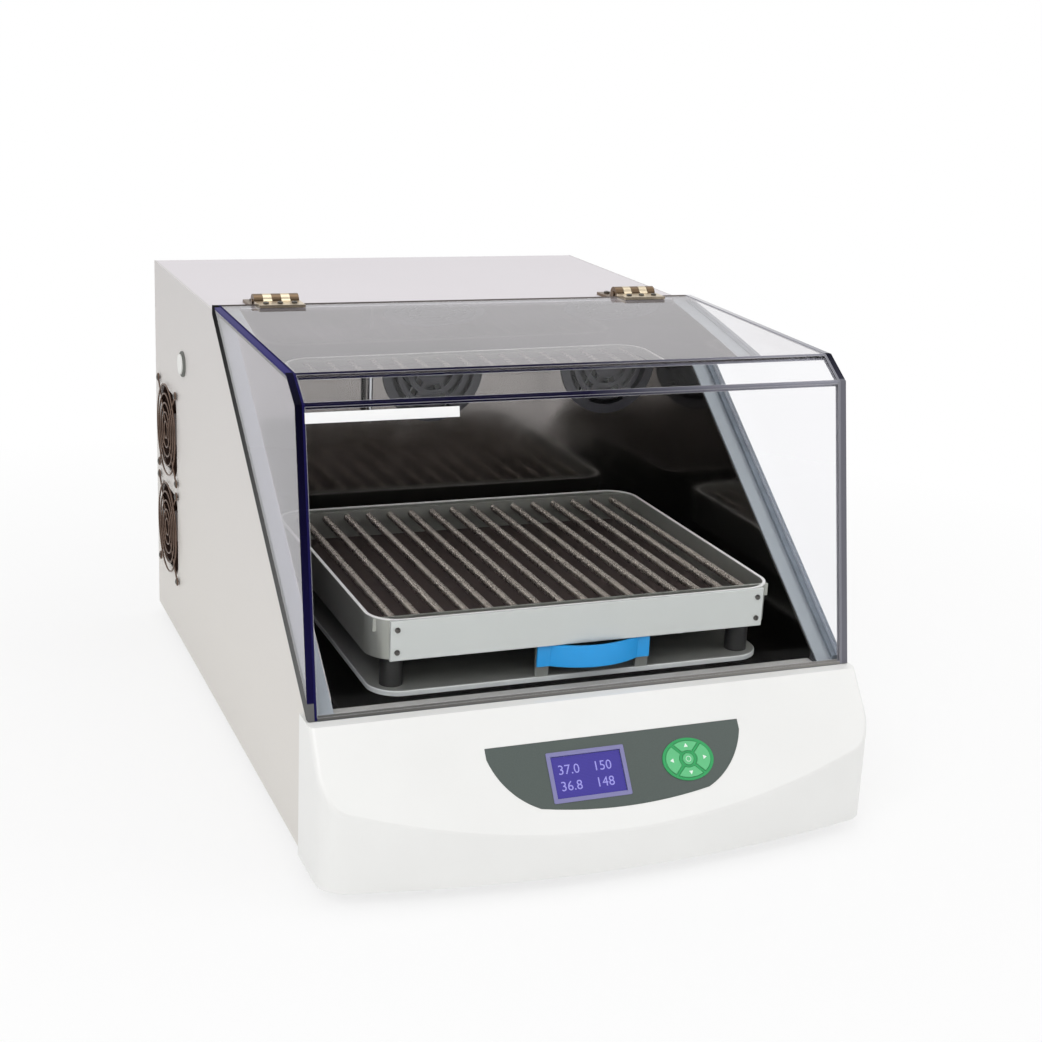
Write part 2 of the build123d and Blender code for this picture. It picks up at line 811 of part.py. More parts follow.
with BuildPart() as control_overlay:
    with BuildSketch(overlay_plane.offset(-overlay_recess)):
        add(overlay_outline(0.0))
    extrude(amount=overlay_sheet)
    with BuildSketch(display_plane.offset(-overlay_recess)):
        Rectangle(display_width - 2 * display_border, display_height - 2 * display_border)
    extrude(amount=overlay_sheet, mode=Mode.SUBTRACT)
    with BuildSketch(keypad_plane.offset(-overlay_recess)):
        Ellipse(keypad_radius + panel_fit, keypad_short_radius + panel_fit)
    extrude(amount=overlay_sheet, mode=Mode.SUBTRACT)
control_overlay.part.label = "control_overlay"
export_step(control_overlay.part, "parts/control_overlay.step")

overlay_face = overlay_sheet - overlay_recess
with BuildPart() as lcd_bezel:
    with BuildSketch(display_plane.offset(overlay_face)):
        RectangleRounded(display_width, display_height, 1.5)
        Rectangle(display_width - 2 * display_border, display_height - 2 * display_border, mode=Mode.SUBTRACT)
    extrude(amount=0.8)
    chamfer(lcd_bezel.edges().group_by(SortBy.LENGTH)[-1], length=0.3)
lcd_bezel.part.label = "lcd_bezel"
export_step(lcd_bezel.part, "parts/lcd_bezel.step")

with BuildPart() as lcd_module:
    with BuildSketch(display_plane.offset(-fascia_wall - 6.0)):
        Rectangle(display_width + 8, display_height + 6)
    extrude(amount=6.0)
    with BuildSketch(display_plane.offset(-fascia_wall)):
        with Locations((0, 0)):
            Rectangle(display_width - 2 * display_border - 0.6, display_height - 2 * display_border - 0.6)
    extrude(amount=fascia_wall - 0.6)
lcd_module.part.label = "lcd_module"
export_step(lcd_module.part, "parts/lcd_module.step")

board_sheet = 1.6
board_margin = 6.0
connector_inset = 20.0
connector_width = 16.0
connector_length = 26.0
chip_drop = 14.0
chip_pitch = 20.0
chip_width = 10.0
chip_height = 8.0
chip_rise = 3.0
with BuildPart() as control_board:
    with BuildSketch(board_plane.offset(-fascia_wall - board_standoff - board_sheet)):
        Rectangle(board_holes[0] + 2 * board_margin, board_holes[1] + 2 * board_margin)
    extrude(amount=board_sheet)
    with BuildSketch(board_plane.offset(-fascia_wall - board_standoff)):
        with Locations((-board_holes[0] / 2 + connector_inset, 0)):
            Rectangle(connector_width, connector_length)
        with Locations((0, -chip_drop)):
            with GridLocations(chip_pitch, 0, 3, 1):
                Rectangle(chip_width, chip_height)
    extrude(amount=chip_rise)
control_board.part.label = "control_board"
export_step(control_board.part, "parts/control_board.step")

keypad_rim = 1.5
keypad_lap = 4.0
keypad_face = 0.9
key_under = -1.2
key_floor = key_under - key_travel - 0.4
key_top = 1.6
petal_names = ("right", "up", "left", "down")


def petal_outline(index, shrink):
    """Quarter petal of the key ring: an annular sector less a bar on each side."""
    centre_angle = 90.0 * index
    half_bar = petal_bar / 2 + shrink
    with BuildSketch(mode=Mode.PRIVATE) as petal:
        Ellipse(petal_outer_radius - shrink, petal_outer_short_radius - shrink)
        Ellipse(petal_inner_radius + shrink, petal_inner_short_radius + shrink, mode=Mode.SUBTRACT)
        with Locations(Rotation(0, 0, centre_angle)):
            with Locations((-keypad_radius, 0)):
                Rectangle(2 * keypad_radius, 4 * keypad_radius, mode=Mode.SUBTRACT)
        for turn in (-45.0, 45.0):
            with Locations(Rotation(0, 0, centre_angle + turn)):
                with Locations((0, 0)):
                    Rectangle(4 * keypad_radius, 2 * half_bar, mode=Mode.SUBTRACT)
        with BuildSketch(mode=Mode.PRIVATE) as wedge:
            with BuildLine():
                reach = 2 * keypad_radius
                first = radians(centre_angle - 45.0)
                last = radians(centre_angle + 45.0)
                Polyline(
                    (0, 0),
                    (reach * cos(first), reach * sin(first)),
                    (reach * cos(last), reach * sin(last)),
                    close=True,
                )
            make_face()
        add(wedge.sketch, mode=Mode.INTERSECT)
    return petal.sketch


with BuildPart() as keypad_base:
    with BuildSketch(keypad_plane.offset(-fascia_wall - keypad_rim)):
        Ellipse(keypad_radius + keypad_lap, keypad_short_radius + keypad_lap)
    extrude(amount=keypad_rim)
    with BuildSketch(keypad_plane.offset(-fascia_wall)):
        Ellipse(keypad_radius, keypad_short_radius)
    extrude(amount=fascia_wall + keypad_face)
    with BuildSketch(keypad_plane.offset(key_floor)):
        Circle(centre_key_radius + key_gap)
        for index in range(len(petal_names)):
            add(petal_outline(index, 0.0))
    extrude(amount=keypad_face - key_floor, mode=Mode.SUBTRACT)
keypad_base.part.label = "keypad_base"
export_step(keypad_base.part, "parts/keypad_base.step")

for index, name in enumerate(petal_names):
    with BuildPart() as key:
        with BuildSketch(keypad_plane.offset(key_under)):
            add(petal_outline(index, key_gap))
        extrude(amount=key_top - key_under)
        chamfer(key.faces().sort_by(lambda f: f.center().Z - f.center().Y)[-1].edges(), length=0.4)
    key.part.label = f"key_{name}"
    export_step(key.part, f"parts/key_{name}.step")

with BuildPart() as key_centre:
    with BuildSketch(keypad_plane.offset(key_under)):
        Circle(centre_key_radius)
    extrude(amount=key_top - key_under)
    chamfer(key_centre.edges().filter_by(GeomType.CIRCLE).sort_by(Axis.Z)[-1], length=0.4)
key_centre.part.label = "key_centre"
export_step(key_centre.part, "parts/key_centre.step")

# ---------------------------------------------------------------------------
# Ventilation fans and fittings of the left side
# ---------------------------------------------------------------------------
fan_face_x = -skin_inner
blade_thickness = 2.2
fan_hub_end_gap = 0.5
guard_radius = fan_bore_radius - 2.0
guard_lug_radius = fan_hole_pitch / 2 * sqrt(2)


def fan_plane(z, x):
    """Plane across the axis of a ventilation fan, its normal pointing into the housing."""
    return Plane(origin=(x, fan_y, z), x_dir=(0, 1, 0), z_dir=(1, 0, 0))


with BuildPart() as cooling_fan_frames:
    for z in (fan_lower_z, fan_upper_z):
        front = fan_plane(z, fan_face_x)
        with BuildSketch(front):
            RectangleRounded(fan_size, fan_size, fan_corner_radius)
            Circle(fan_bore_radius, mode=Mode.SUBTRACT)
            with GridLocations(fan_hole_pitch, fan_hole_pitch, 2, 2):
                Circle(fan_hole_radius, mode=Mode.SUBTRACT)
        extrude(amount=fan_depth)
        with BuildSketch(front.offset(fan_flange)):
            Rectangle(fan_size + fan_wall, fan_size - 2 * fan_corner_post)
            Rectangle(fan_size - 2 * fan_corner_post, fan_size + fan_wall)
            Circle(fan_bore_radius + fan_wall / 2, mode=Mode.SUBTRACT)
        extrude(amount=fan_depth - 2 * fan_flange, mode=Mode.SUBTRACT)
        with BuildSketch(front.offset(fan_depth - fan_strut_depth)):
            Circle(fan_hub_radius + fan_wall)
            for turn in (45, 135):
                with Locations(Rotation(0, 0, turn)):
                    Rectangle(2 * fan_bore_radius + fan_wall, fan_strut_width)
        extrude(amount=fan_strut_depth)
        with BuildSketch(front.offset(fan_depth - fan_strut_depth - fan_spindle_length)):
            Circle(fan_spindle_radius)
        extrude(amount=fan_spindle_length)
cooling_fan_frames.part.label = "cooling_fan_frames"
export_step(cooling_fan_frames.part, "parts/cooling_fan_frames.step")


def fan_wheel(front, hub_radius, tip_radius, depth, bore, blades, pitch_angle):
    """Axial fan wheel: a cupped hub with slanted blades, bored for its shaft."""
    blade_length = tip_radius - hub_radius + 1.0
    with BuildPart() as wheel:
        with BuildSketch(front):
            Circle(hub_radius)
        extrude(amount=depth)
        for index in range(blades):
            angle = 2 * pi * index / blades
            radial = front.x_dir * cos(angle) + front.y_dir * sin(angle)
            middle = front.origin + front.z_dir * (depth / 2) + radial * (hub_radius - 1.0)
            blade_plane = Plane(origin=middle, x_dir=front.z_dir, z_dir=radial)
            with BuildSketch(blade_plane):
                SlotOverall(depth * 0.95, blade_thickness, rotation=pitch_angle)
            extrude(amount=blade_length)
        with BuildSketch(front.offset(depth - fan_spindle_length - fan_hub_end_gap)):
            Circle(bore)
        extrude(amount=fan_spindle_length + 2 * fan_hub_end_gap, mode=Mode.SUBTRACT)
        fillet(wheel.edges().filter_by(GeomType.CIRCLE).sort_by(lambda e: -e.radius)[0:1], radius=1.0)
    return wheel


for name, z in (("lower", fan_lower_z), ("upper", fan_upper_z)):
    cooling_wheel = fan_wheel(
        fan_plane(z, fan_face_x + fan_flange),
        fan_hub_radius,
        fan_bore_radius - fan_blade_gap,
        fan_depth - 2 * fan_flange,
        fan_spindle_radius + running_clearance,
        fan_blades,
        35.0,
    )
    cooling_wheel.part.label = f"{name}_fan_wheel"
    export_step(cooling_wheel.part, f"parts/{name}_fan_wheel.step")

with BuildPart() as cooling_fan_guards:
    for z in (fan_lower_z, fan_upper_z):
        face = fan_plane(z, -housing_half)
        ring_step = (guard_radius - guard_inner_radius) / (guard_rings - 1)
        with BuildSketch(face.offset(-guard_stand_off - guard_wire)):
            for ring in range(guard_rings):
                radius = guard_inner_radius + ring * ring_step
                Circle(radius)
                Circle(radius - guard_wire, mode=Mode.SUBTRACT)
        extrude(amount=guard_wire)
        with BuildSketch(face.offset(-guard_stand_off)):
            for turn in (45, 135):
                with Locations(Rotation(0, 0, turn)):
                    with GridLocations(guard_lug_radius + guard_spoke_start, 0, 2, 1):
                        Rectangle(guard_lug_radius - guard_spoke_start, guard_wire)
        extrude(amount=guard_stand_off)
        with BuildSketch(face.offset(-guard_stand_off)):
            with GridLocations(fan_hole_pitch, fan_hole_pitch, 2, 2):
                Circle(guard_eye_radius)
                Circle(fan_hole_radius, mode=Mode.SUBTRACT)
        extrude(amount=guard_stand_off)
cooling_fan_guards.part.label = "cooling_fan_guards"
export_step(cooling_fan_guards.part, "parts/cooling_fan_guards.step")

port_plane = Plane(origin=(-housing_half, port_y, port_z), x_dir=(0, 1, 0), z_dir=(-1, 0, 0))
with BuildPart() as access_port_bush:
    with BuildSketch(port_plane):
        Circle(port_radius)
    extrude(amount=port_flange)
    fillet(access_port_bush.edges().filter_by(GeomType.CIRCLE).sort_by(Axis.X)[0], radius=1.0)
    with BuildSketch(port_plane):
        Circle(port_bore_radius + port_wall)
    extrude(amount=-port_plug_travel + 2.0)
    with BuildSketch(port_plane.offset(port_flange)):
        Circle(port_bore_radius)
    extrude(amount=-port_plug_travel - port_flange, mode=Mode.SUBTRACT)
access_port_bush.part.label = "access_port_bush"
export_step(access_port_bush.part, "parts/access_port_bush.step")

with BuildPart() as access_port_plug:
    with BuildSketch(port_plane.offset(port_flange + joint_gap)):
        Circle(port_bore_radius + port_plug_lap)
    extrude(amount=port_plug_head)
    fillet(access_port_plug.edges().filter_by(GeomType.CIRCLE).sort_by(Axis.X)[0], radius=0.8)
    with BuildSketch(port_plane.offset(port_flange + joint_gap)):
        Circle(port_bore_radius - 0.1)
    extrude(amount=-port_plug_travel + 4.0)
access_port_plug.part.label = "access_port_plug"
export_step(access_port_plug.part, "parts/access_port_plug.step")

inlet_plane = Plane(origin=(inlet_x, housing_rear, inlet_z), x_dir=(-1, 0, 0), z_dir=(0, 1, 0))
switch_x = inlet_x + switch_pitch
switch_plane = Plane(origin=(switch_x, housing_rear, inlet_z), x_dir=(-1, 0, 0), z_dir=(0, 1, 0))
flange_out = 1.8
socket_depth = 18.0
rocker_depth = 7.0
rocker_y = housing_rear - rocker_depth + 2
with BuildPart() as power_inlet:
    with BuildSketch(inlet_plane):
        Rectangle(inlet_width + 6, inlet_height + 6)
    extrude(amount=flange_out)
    with BuildSketch(inlet_plane):
        Rectangle(inlet_width - 0.4, inlet_height - 0.4)
    extrude(amount=-socket_depth - 4)
    with BuildSketch(inlet_plane.offset(flange_out)):
        with Locations((-10, 0)):
            Rectangle(24, 19)
    extrude(amount=-socket_depth, mode=Mode.SUBTRACT)
    with BuildSketch(inlet_plane.offset(flange_out - socket_depth)):
        with Locations((-17, -3), (-3, -3), (-10, 4)):
            Rectangle(2.0, 5.0)
    extrude(amount=socket_depth - 5.0)
    with BuildSketch(inlet_plane.offset(flange_out)):
        with Locations((15, 0)):
            Rectangle(12, 20)
            Rectangle(10, 18, mode=Mode.SUBTRACT)
    extrude(amount=-1.0, mode=Mode.SUBTRACT)
    with BuildSketch(switch_plane):
        Rectangle(23, 31)
    extrude(amount=flange_out)
    with BuildSketch(switch_plane):
        Rectangle(19.2, 27.2)
    extrude(amount=-20)
    with BuildSketch(switch_plane.offset(flange_out)):
        Rectangle(15, 23)
    extrude(amount=-11, mode=Mode.SUBTRACT)
    with BuildSketch(Plane.YZ.offset(switch_x)):
        with Locations((rocker_y, inlet_z)):
            Circle(1.5)
    extrude(amount=8.2, both=True, mode=Mode.SUBTRACT)
power_inlet.part.label = "power_inlet"
export_step(power_inlet.part, "parts/power_inlet.step")

with BuildPart() as power_rocker:
    with BuildSketch(Plane.YZ.offset(switch_x)):
        with BuildLine():
            Polyline(
                (rocker_y - 2.6, inlet_z - 3),
                (rocker_y + 3.0, inlet_z - 10.4),
                (rocker_y + 6.6, inlet_z - 10.2),
                (rocker_y + 5.4, inlet_z),
                (rocker_y + 6.6, inlet_z + 10.2),
                (rocker_y + 3.0, inlet_z + 10.4),
                (rocker_y - 2.6, inlet_z + 3),
                close=True,
            )
        make_face()
    extrude(amount=7.0, both=True)
    with BuildSketch(Plane.YZ.offset(switch_x)):
        with Locations((rocker_y, inlet_z)):
            Circle(1.5 - running_clearance)
    extrude(amount=8.0, both=True)
power_rocker.part.label = "power_rocker"
export_step(power_rocker.part, "parts/power_rocker.step")

# ---------------------------------------------------------------------------
# Chamber circulation fans and heater behind the back wall
# ---------------------------------------------------------------------------
guard_disc = 2.0
wheel_depth = 22.0


def circulation_plane(x, y):
    """Plane across the axis of a circulation fan, its normal pointing to the front."""
    return Plane(origin=(x, y, circulation_z), x_dir=(1, 0, 0), z_dir=(0, -1, 0))


with BuildPart() as circulation_fan_guards:
    for x in circulation_x:
        face = circulation_plane(x, chamber_rear)
        with BuildSketch(face):
            Circle(circulation_guard_radius)
        extrude(amount=guard_disc)
        for ring_radius in (18.0, 30.0, 42.0):
            with BuildSketch(face):
                Circle(ring_radius + 6.0)
                Circle(ring_radius, mode=Mode.SUBTRACT)
                for index in range(circulation_slots // 2):
                    with Locations(Rotation(0, 0, index * 360 / circulation_slots)):
                        Rectangle(2 * circulation_guard_radius, 4.0, mode=Mode.SUBTRACT)
            extrude(amount=guard_disc, mode=Mode.SUBTRACT)
circulation_fan_guards.part.label = "circulation_fan_guards"
export_step(circulation_fan_guards.part, "parts/circulation_fan_guards.step")

motor_face_y = chamber_rear + liner_sheet + wheel_depth + 8.0
circulation_shaft = 14.0
circulation_post_x = circulation_impeller_radius + 6.0
bracket_sheet = 2.0
with BuildPart() as circulation_fan_motors:
    for x in circulation_x:
        face = circulation_plane(x, motor_face_y)
        with BuildSketch(face):
            Circle(circulation_motor_radius)
        extrude(amount=-circulation_motor_depth)
        with BuildSketch(face):
            Circle(3.0)
        extrude(amount=circulation_shaft)
        with BuildSketch(face.offset(-bracket_sheet)):
            with GridLocations(2 * circulation_post_x, 0, 2, 1):
                Circle(5.0)
            Rectangle(2 * circulation_post_x, 9.0)
        extrude(amount=bracket_sheet)
        with BuildSketch(face):
            with GridLocations(2 * circulation_post_x, 0, 2, 1):
                Circle(2.5)
        extrude(amount=motor_face_y - chamber_rear - liner_sheet)
circulation_fan_motors.part.label = "circulation_fan_motors"
export_step(circulation_fan_motors.part, "parts/circulation_fan_motors.step")

impeller_depth = wheel_depth - 3.0
impeller_front_y = motor_face_y - 4.0 - impeller_depth
for name, x in (("left", circulation_x[0]), ("right", circulation_x[1])):
    circulation_wheel = fan_wheel(
        Plane(origin=(x, impeller_front_y, circulation_z), x_dir=(1, 0, 0), z_dir=(0, 1, 0)),
        14.0,
        circulation_impeller_radius - 2.0,
        impeller_depth,
        3.0 + running_clearance,
        circulation_slots,
        40.0,
    )
    circulation_wheel.part.label = f"{name}_circulation_wheel"
    export_step(circulation_wheel.part, f"parts/{name}_circulation_wheel.step")

heater_radius = 4.0
heater_stand_off = 14.0
heater_bend = 18.0
heater_y = chamber_rear + liner_sheet + heater_stand_off
heater_end_y = insulation_rear - joint_gap
heater_half = 180.0
heater_rise = 44.0
heater_low_z = 190.0
with BuildPart() as heater:
    with BuildLine() as heater_path:
        FilletPolyline(
            (-heater_half, heater_end_y, heater_low_z),
            (-heater_half, heater_y, heater_low_z),
            (heater_half, heater_y, heater_low_z),
            (heater_half, heater_y, heater_low_z + heater_rise),
            (-heater_half, heater_y, heater_low_z + heater_rise),
            (-heater_half, heater_end_y, heater_low_z + heater_rise),
            radius=heater_bend,
        )
    with BuildSketch(Plane(origin=heater_path.line @ 0, z_dir=heater_path.line % 0)):
        Circle(heater_radius)
    sweep()
heater.part.label = "heater"
export_step(heater.part, "parts/heater.step")

# ---------------------------------------------------------------------------
# Triple eccentric drive under the chamber floor
# ---------------------------------------------------------------------------
bearing_width = 12.0
idler_bearing_width = 8.0
main_boss_radius = 27.0
main_bearing_radius = 21.0
idler_boss_radius = 17.0
idler_bearing_radius = 11.0
boss_bottom = 82.0
boss_top = 122.0
plate_bottom = drive_plate_top - drive_plate_thickness
leg_size = 20.0
leg_foot = 4.0
leg_foot_lap = 7.0
pulley_room = 8.0
idler_places = [(-idler_x, idler_y), (idler_x, idler_y)]
leg_places = [(side * drive_leg_x, y) for side in (-1, 1) for y in (drive_leg_front_y, drive_leg_rear_y)]

with BuildPart() as drive_frame:
    with BuildSketch(Plane.XY.offset(plate_bottom)) as drive_plate:
        with Locations((0, (drive_leg_front_y + drive_leg_rear_y) / 2)):
            Rectangle(2 * drive_leg_x + leg_size, drive_leg_rear_y - drive_leg_front_y + leg_size)
        fillet(drive_plate.vertices(), radius=leg_size)
        with Locations((0, motor_y)):
            Circle(motor_pulley_radius + pulley_room, mode=Mode.SUBTRACT)
    extrude(amount=drive_plate_thickness)
    with BuildSketch(Plane.XY.offset(boss_bottom)):
        with Locations((0, drive_y)):
            Circle(main_boss_radius)
        with Locations(*idler_places):
            Circle(idler_boss_radius)
    extrude(amount=boss_top - boss_bottom)
    with BuildSketch(Plane.XY.offset(foot_height + sheet)):
        with Locations(*leg_places):
            Circle(leg_size / 2)
    extrude(amount=plate_bottom - foot_height - sheet)
    with BuildSketch(Plane.XY.offset(foot_height + sheet)):
        with Locations(*leg_places):
            Circle(leg_size / 2 + leg_foot_lap)
    extrude(amount=leg_foot)
    with BuildSketch(Plane.XY.offset(boss_bottom)):
        with Locations((0, drive_y)):
            Circle(main_bearing_radius)
        with Locations(*idler_places):
            Circle(idler_bearing_radius)
    extrude(amount=boss_top - boss_bottom, mode=Mode.SUBTRACT)
drive_frame.part.label = "drive_frame"
export_step(drive_frame.part, "parts/drive_frame.step")

with BuildPart() as drive_bearings:
    for base_z in (boss_bottom, boss_top - bearing_width):
        with BuildSketch(Plane.XY.offset(base_z)):
            with Locations((0, drive_y)):
                Circle(main_bearing_radius)
                Circle(shaft_radius + running_clearance, mode=Mode.SUBTRACT)
        extrude(amount=bearing_width)
    for base_z in (boss_bottom, boss_top - idler_bearing_width):
        with BuildSketch(Plane.XY.offset(base_z)):
            with Locations(*idler_places):
                Circle(idler_bearing_radius)
                Circle(idler_shaft_radius + running_clearance, mode=Mode.SUBTRACT)
        extrude(amount=idler_bearing_width)
drive_bearings.part.label = "drive_bearings"
export_step(drive_bearings.part, "parts/drive_bearings.step")

pin_y = drive_y - orbit_radius
counterweight_bottom = pulley_bottom - counterweight_height - 5.0
pin_top = deck_bottom - 1.0
with BuildPart() as drive_crank:
    with BuildSketch(Plane.XY.offset(counterweight_bottom - 4.0)):
        with Locations((0, drive_y)):
            Circle(shaft_radius)
    extrude(amount=web_bottom - counterweight_bottom + 4.0)
    with BuildSketch(Plane.XY.offset(web_bottom)):
        with Locations((0, drive_y - orbit_radius / 2)):
            Circle(crank_web_radius)
    extrude(amount=web_thickness)
    with BuildSketch(Plane.XY.offset(web_top)):
        with Locations((0, pin_y)):
            Circle(crank_pin_radius)
    extrude(amount=pin_top - web_top)
    chamfer(drive_crank.faces().sort_by(Axis.Z)[-1].edges(), length=0.8)
drive_crank.part.label = "drive_crank"
export_step(drive_crank.part, "parts/drive_crank.step")

for name, (x, y) in zip(("left", "right"), idler_places):
    with BuildPart() as idler_crank:
        with BuildSketch(Plane.XY.offset(boss_bottom - 2.0)):
            with Locations((x, y)):
                Circle(idler_shaft_radius)
        extrude(amount=web_bottom - boss_bottom + 2.0)
        with BuildSketch(Plane.XY.offset(web_bottom)):
            with Locations((x, y - orbit_radius / 2)):
                Circle(idler_web_radius)
        extrude(amount=web_thickness)
        with BuildSketch(Plane.XY.offset(web_top)):
            with Locations((x, y - orbit_radius)):
                Circle(idler_shaft_radius)
        extrude(amount=pin_top - web_top)
        chamfer(idler_crank.faces().sort_by(Axis.Z)[-1].edges(), length=0.8)
    idler_crank.part.label = f"{name}_idler_crank"
    export_step(idler_crank.part, f"parts/{name}_idler_crank.step")

groove_pitch = 3.5
groove_depth = 1.6
groove_count = 3


def ribbed_pulley(x, y, radius, bore, hub_radius):
    """Pulley with V grooves in its rim, a thin web and a hub, bored for its shaft."""
    rim_inner = radius - 6.0
    with BuildPart() as pulley:
        with BuildSketch(Plane.XY.offset(pulley_bottom)):
            with Locations((x, y)):
                Circle(radius - groove_depth)
                Circle(bore, mode=Mode.SUBTRACT)
        extrude(amount=pulley_height)
        if rim_inner - hub_radius > 10:
            for base_z in (pulley_bottom, pulley_bottom + pulley_height - 4.0):
                with BuildSketch(Plane.XY.offset(base_z)):
                    with Locations((x, y)):
                        Circle(rim_inner)
                        Circle(hub_radius, mode=Mode.SUBTRACT)
                extrude(amount=4.0, mode=Mode.SUBTRACT)
            with BuildSketch(Plane.XY.offset(pulley_bottom)):
                with Locations((x, y)):
                    with PolarLocations((rim_inner + hub_radius) / 2, 6):
                        Circle((rim_inner - hub_radius) / 2 - 5.0)
            extrude(amount=pulley_height, mode=Mode.SUBTRACT)
        rim_half = (groove_count * groove_pitch) / 2
        middle = pulley_bottom + pulley_height / 2
        with BuildSketch(Plane(origin=(x, y, middle), x_dir=(1, 0, 0), z_dir=(0, -1, 0))):
            with BuildLine():
                points = [(radius - groove_depth - 0.5, -rim_half)]
                for rib in range(groove_count):
                    foot = -rim_half + rib * groove_pitch
                    points.append((radius - groove_depth, foot))
                    points.append((radius, foot + 0.35 * groove_pitch))
                    points.append((radius, foot + 0.65 * groove_pitch))
                points.append((radius - groove_depth, rim_half))
                points.append((radius - groove_depth - 0.5, rim_half))
                Polyline(*points, close=True)
            make_face()
        revolve(axis=Axis((x, y, 0), (0, 0, 1)))
    return pulley


drive_pulley = ribbed_pulley(0, drive_y, drive_pulley_radius, shaft_radius, 18.0)
drive_pulley.part.label = "drive_pulley"
export_step(drive_pulley.part, "parts/drive_pulley.step")

motor_shaft_radius = 5.0
motor_top = foot_height + sheet + motor_height
with BuildPart() as motor_pulley:
    add(ribbed_pulley(0, motor_y, motor_pulley_radius, motor_shaft_radius, 9.0).part)
    with BuildSketch(Plane.XY.offset(motor_top - 20.0)):
        with Locations((0, motor_y)):
            Circle(motor_shaft_radius)
    extrude(amount=pulley_bottom + pulley_height + 3.0 - motor_top + 20.0)
motor_pulley.part.label = "motor_pulley"
export_step(motor_pulley.part, "parts/motor_pulley.step")

with BuildPart() as counterweight:
    with BuildSketch(Plane.XY.offset(counterweight_bottom)):
        with Locations((0, drive_y)):
            Circle(counterweight_radius)
        with Locations((0, drive_y - counterweight_radius)):
            Rectangle(2 * counterweight_radius, 2 * counterweight_radius, mode=Mode.SUBTRACT)
        with Locations((0, drive_y)):
            Circle(20.0)
            Circle(shaft_radius, mode=Mode.SUBTRACT)
    extrude(amount=counterweight_height)
    top_edges = counterweight.faces().sort_by(Axis.Z)[-1].edges().filter_by(GeomType.CIRCLE)
    chamfer(top_edges.sort_by(SortBy.LENGTH)[-1], length=2.0)
counterweight.part.label = "counterweight"
export_step(counterweight.part, "parts/counterweight.step")


def belt_loop(grow):
    """Outline round both pulleys, standing off their rims by grow."""
    with BuildSketch() as loop:
        with Locations((0, drive_y)):
            Circle(drive_pulley_radius + grow)
        with Locations((0, motor_y)):
            Circle(motor_pulley_radius + grow)
        make_hull()
    return loop.sketch


with BuildPart() as drive_belt:
    with BuildSketch(Plane.XY.offset(pulley_bottom + 2.0)):
        add(belt_loop(joint_gap + belt_thickness))
        add(belt_loop(joint_gap), mode=Mode.SUBTRACT)
    extrude(amount=pulley_height - 4.0)
drive_belt.part.label = "drive_belt"
export_step(drive_belt.part, "parts/drive_belt.step")

with BuildPart() as motor:
    with BuildSketch(Plane.XY.offset(foot_height + sheet)):
        with Locations((0, motor_y)):
            Circle(motor_radius)
    extrude(amount=motor_height)
    with BuildSketch(Plane.XY.offset(foot_height + sheet)):
        with Locations((0, motor_y)):
            RectangleRounded(2 * motor_radius + 16, 2 * motor_radius + 16, 8.0)
    extrude(amount=4.0)
    with BuildSketch(Plane.XY.offset(motor_top)):
        with Locations((0, motor_y)):
            Circle(16.0)
    extrude(amount=3.0)
    with BuildSketch(Plane.XY.offset(motor_top - 20.0 - 1.0)):
        with Locations((0, motor_y)):
            Circle(motor_shaft_radius + running_clearance)
    extrude(amount=30.0, mode=Mode.SUBTRACT)
    for fin_z in range(4):
        with BuildSketch(Plane.XY.offset(foot_height + sheet + 10.0 + 7.0 * fin_z)):
            with Locations((0, motor_y)):
                Circle(motor_radius)
                Circle(motor_radius - 2.0, mode=Mode.SUBTRACT)
        extrude(amount=3.0, mode=Mode.SUBTRACT)
motor.part.label = "motor"
export_step(motor.part, "parts/motor.step")

# ---------------------------------------------------------------------------
# Platform: deck on the cranks, posts, and the spring rack
# ---------------------------------------------------------------------------
hub_height = deck_bottom - web_top - 2.0
crank_hubs = [(0, pin_y, crank_pin_radius + running_clearance)]
crank_hubs += [(x, y - orbit_radius, idler_shaft_radius + open_pivot_clearance) for x, y in idler_places]
deck_width = platform_width - 2 * deck_inset
deck_depth = platform_depth - 2 * deck_inset
rack_inner_front = platform_front_y + rack_wall
rack_inner_rear = platform_front_y + platform_depth - rack_wall

with BuildPart() as deck_plate:
    with BuildSketch(Plane.XY.offset(deck_bottom)):
        with Locations((0, platform_middle_y)):
            RectangleRounded(deck_width, deck_depth, platform_corner_radius)
            with GridLocations(0.6 * deck_width, 0.55 * deck_depth, 2, 2):
                SlotOverall(60, 14, mode=Mode.SUBTRACT)
    extrude(amount=deck_thickness)
    chamfer(deck_plate.faces().sort_by(Axis.Z)[-1].outer_wire().edges(), length=0.8)
    with BuildSketch(Plane.XY.offset(deck_top)):
        for side in (-1, 1):
            lug_y = platform_front_y + deck_inset + handle_lug_thickness / 2
            with Locations((handle_x + side * (handle_width - handle_pad) / 2, lug_y)):
                Rectangle(handle_pad, handle_lug_thickness)
    extrude(amount=handle_bottom + handle_height - deck_top)
deck_plate.part.label = "deck_plate"
export_step(deck_plate.part, "parts/deck_plate.step")

with BuildPart() as deck_hubs:
    for x, y, bore in crank_hubs:
        with BuildSketch(Plane.XY.offset(deck_bottom - hub_height)):
            with Locations((x, y)):
                Circle(deck_hub_radius)
                Circle(bore, mode=Mode.SUBTRACT)
        extrude(amount=hub_height)
deck_hubs.part.label = "deck_hubs"
export_step(deck_hubs.part, "parts/deck_hubs.step")

post_spread_x = platform_width - 2 * post_inset
post_spread_y = platform_depth - 2 * post_inset
with BuildPart() as rack_posts:
    with BuildSketch(Plane.XY.offset(deck_top)):
        with Locations((0, platform_middle_y)):
            with GridLocations(post_spread_x, post_spread_y, 2, 2):
                Circle(post_radius)
    extrude(amount=rack_bottom - deck_top)
rack_posts.part.label = "rack_posts"
export_step(rack_posts.part, "parts/rack_posts.step")

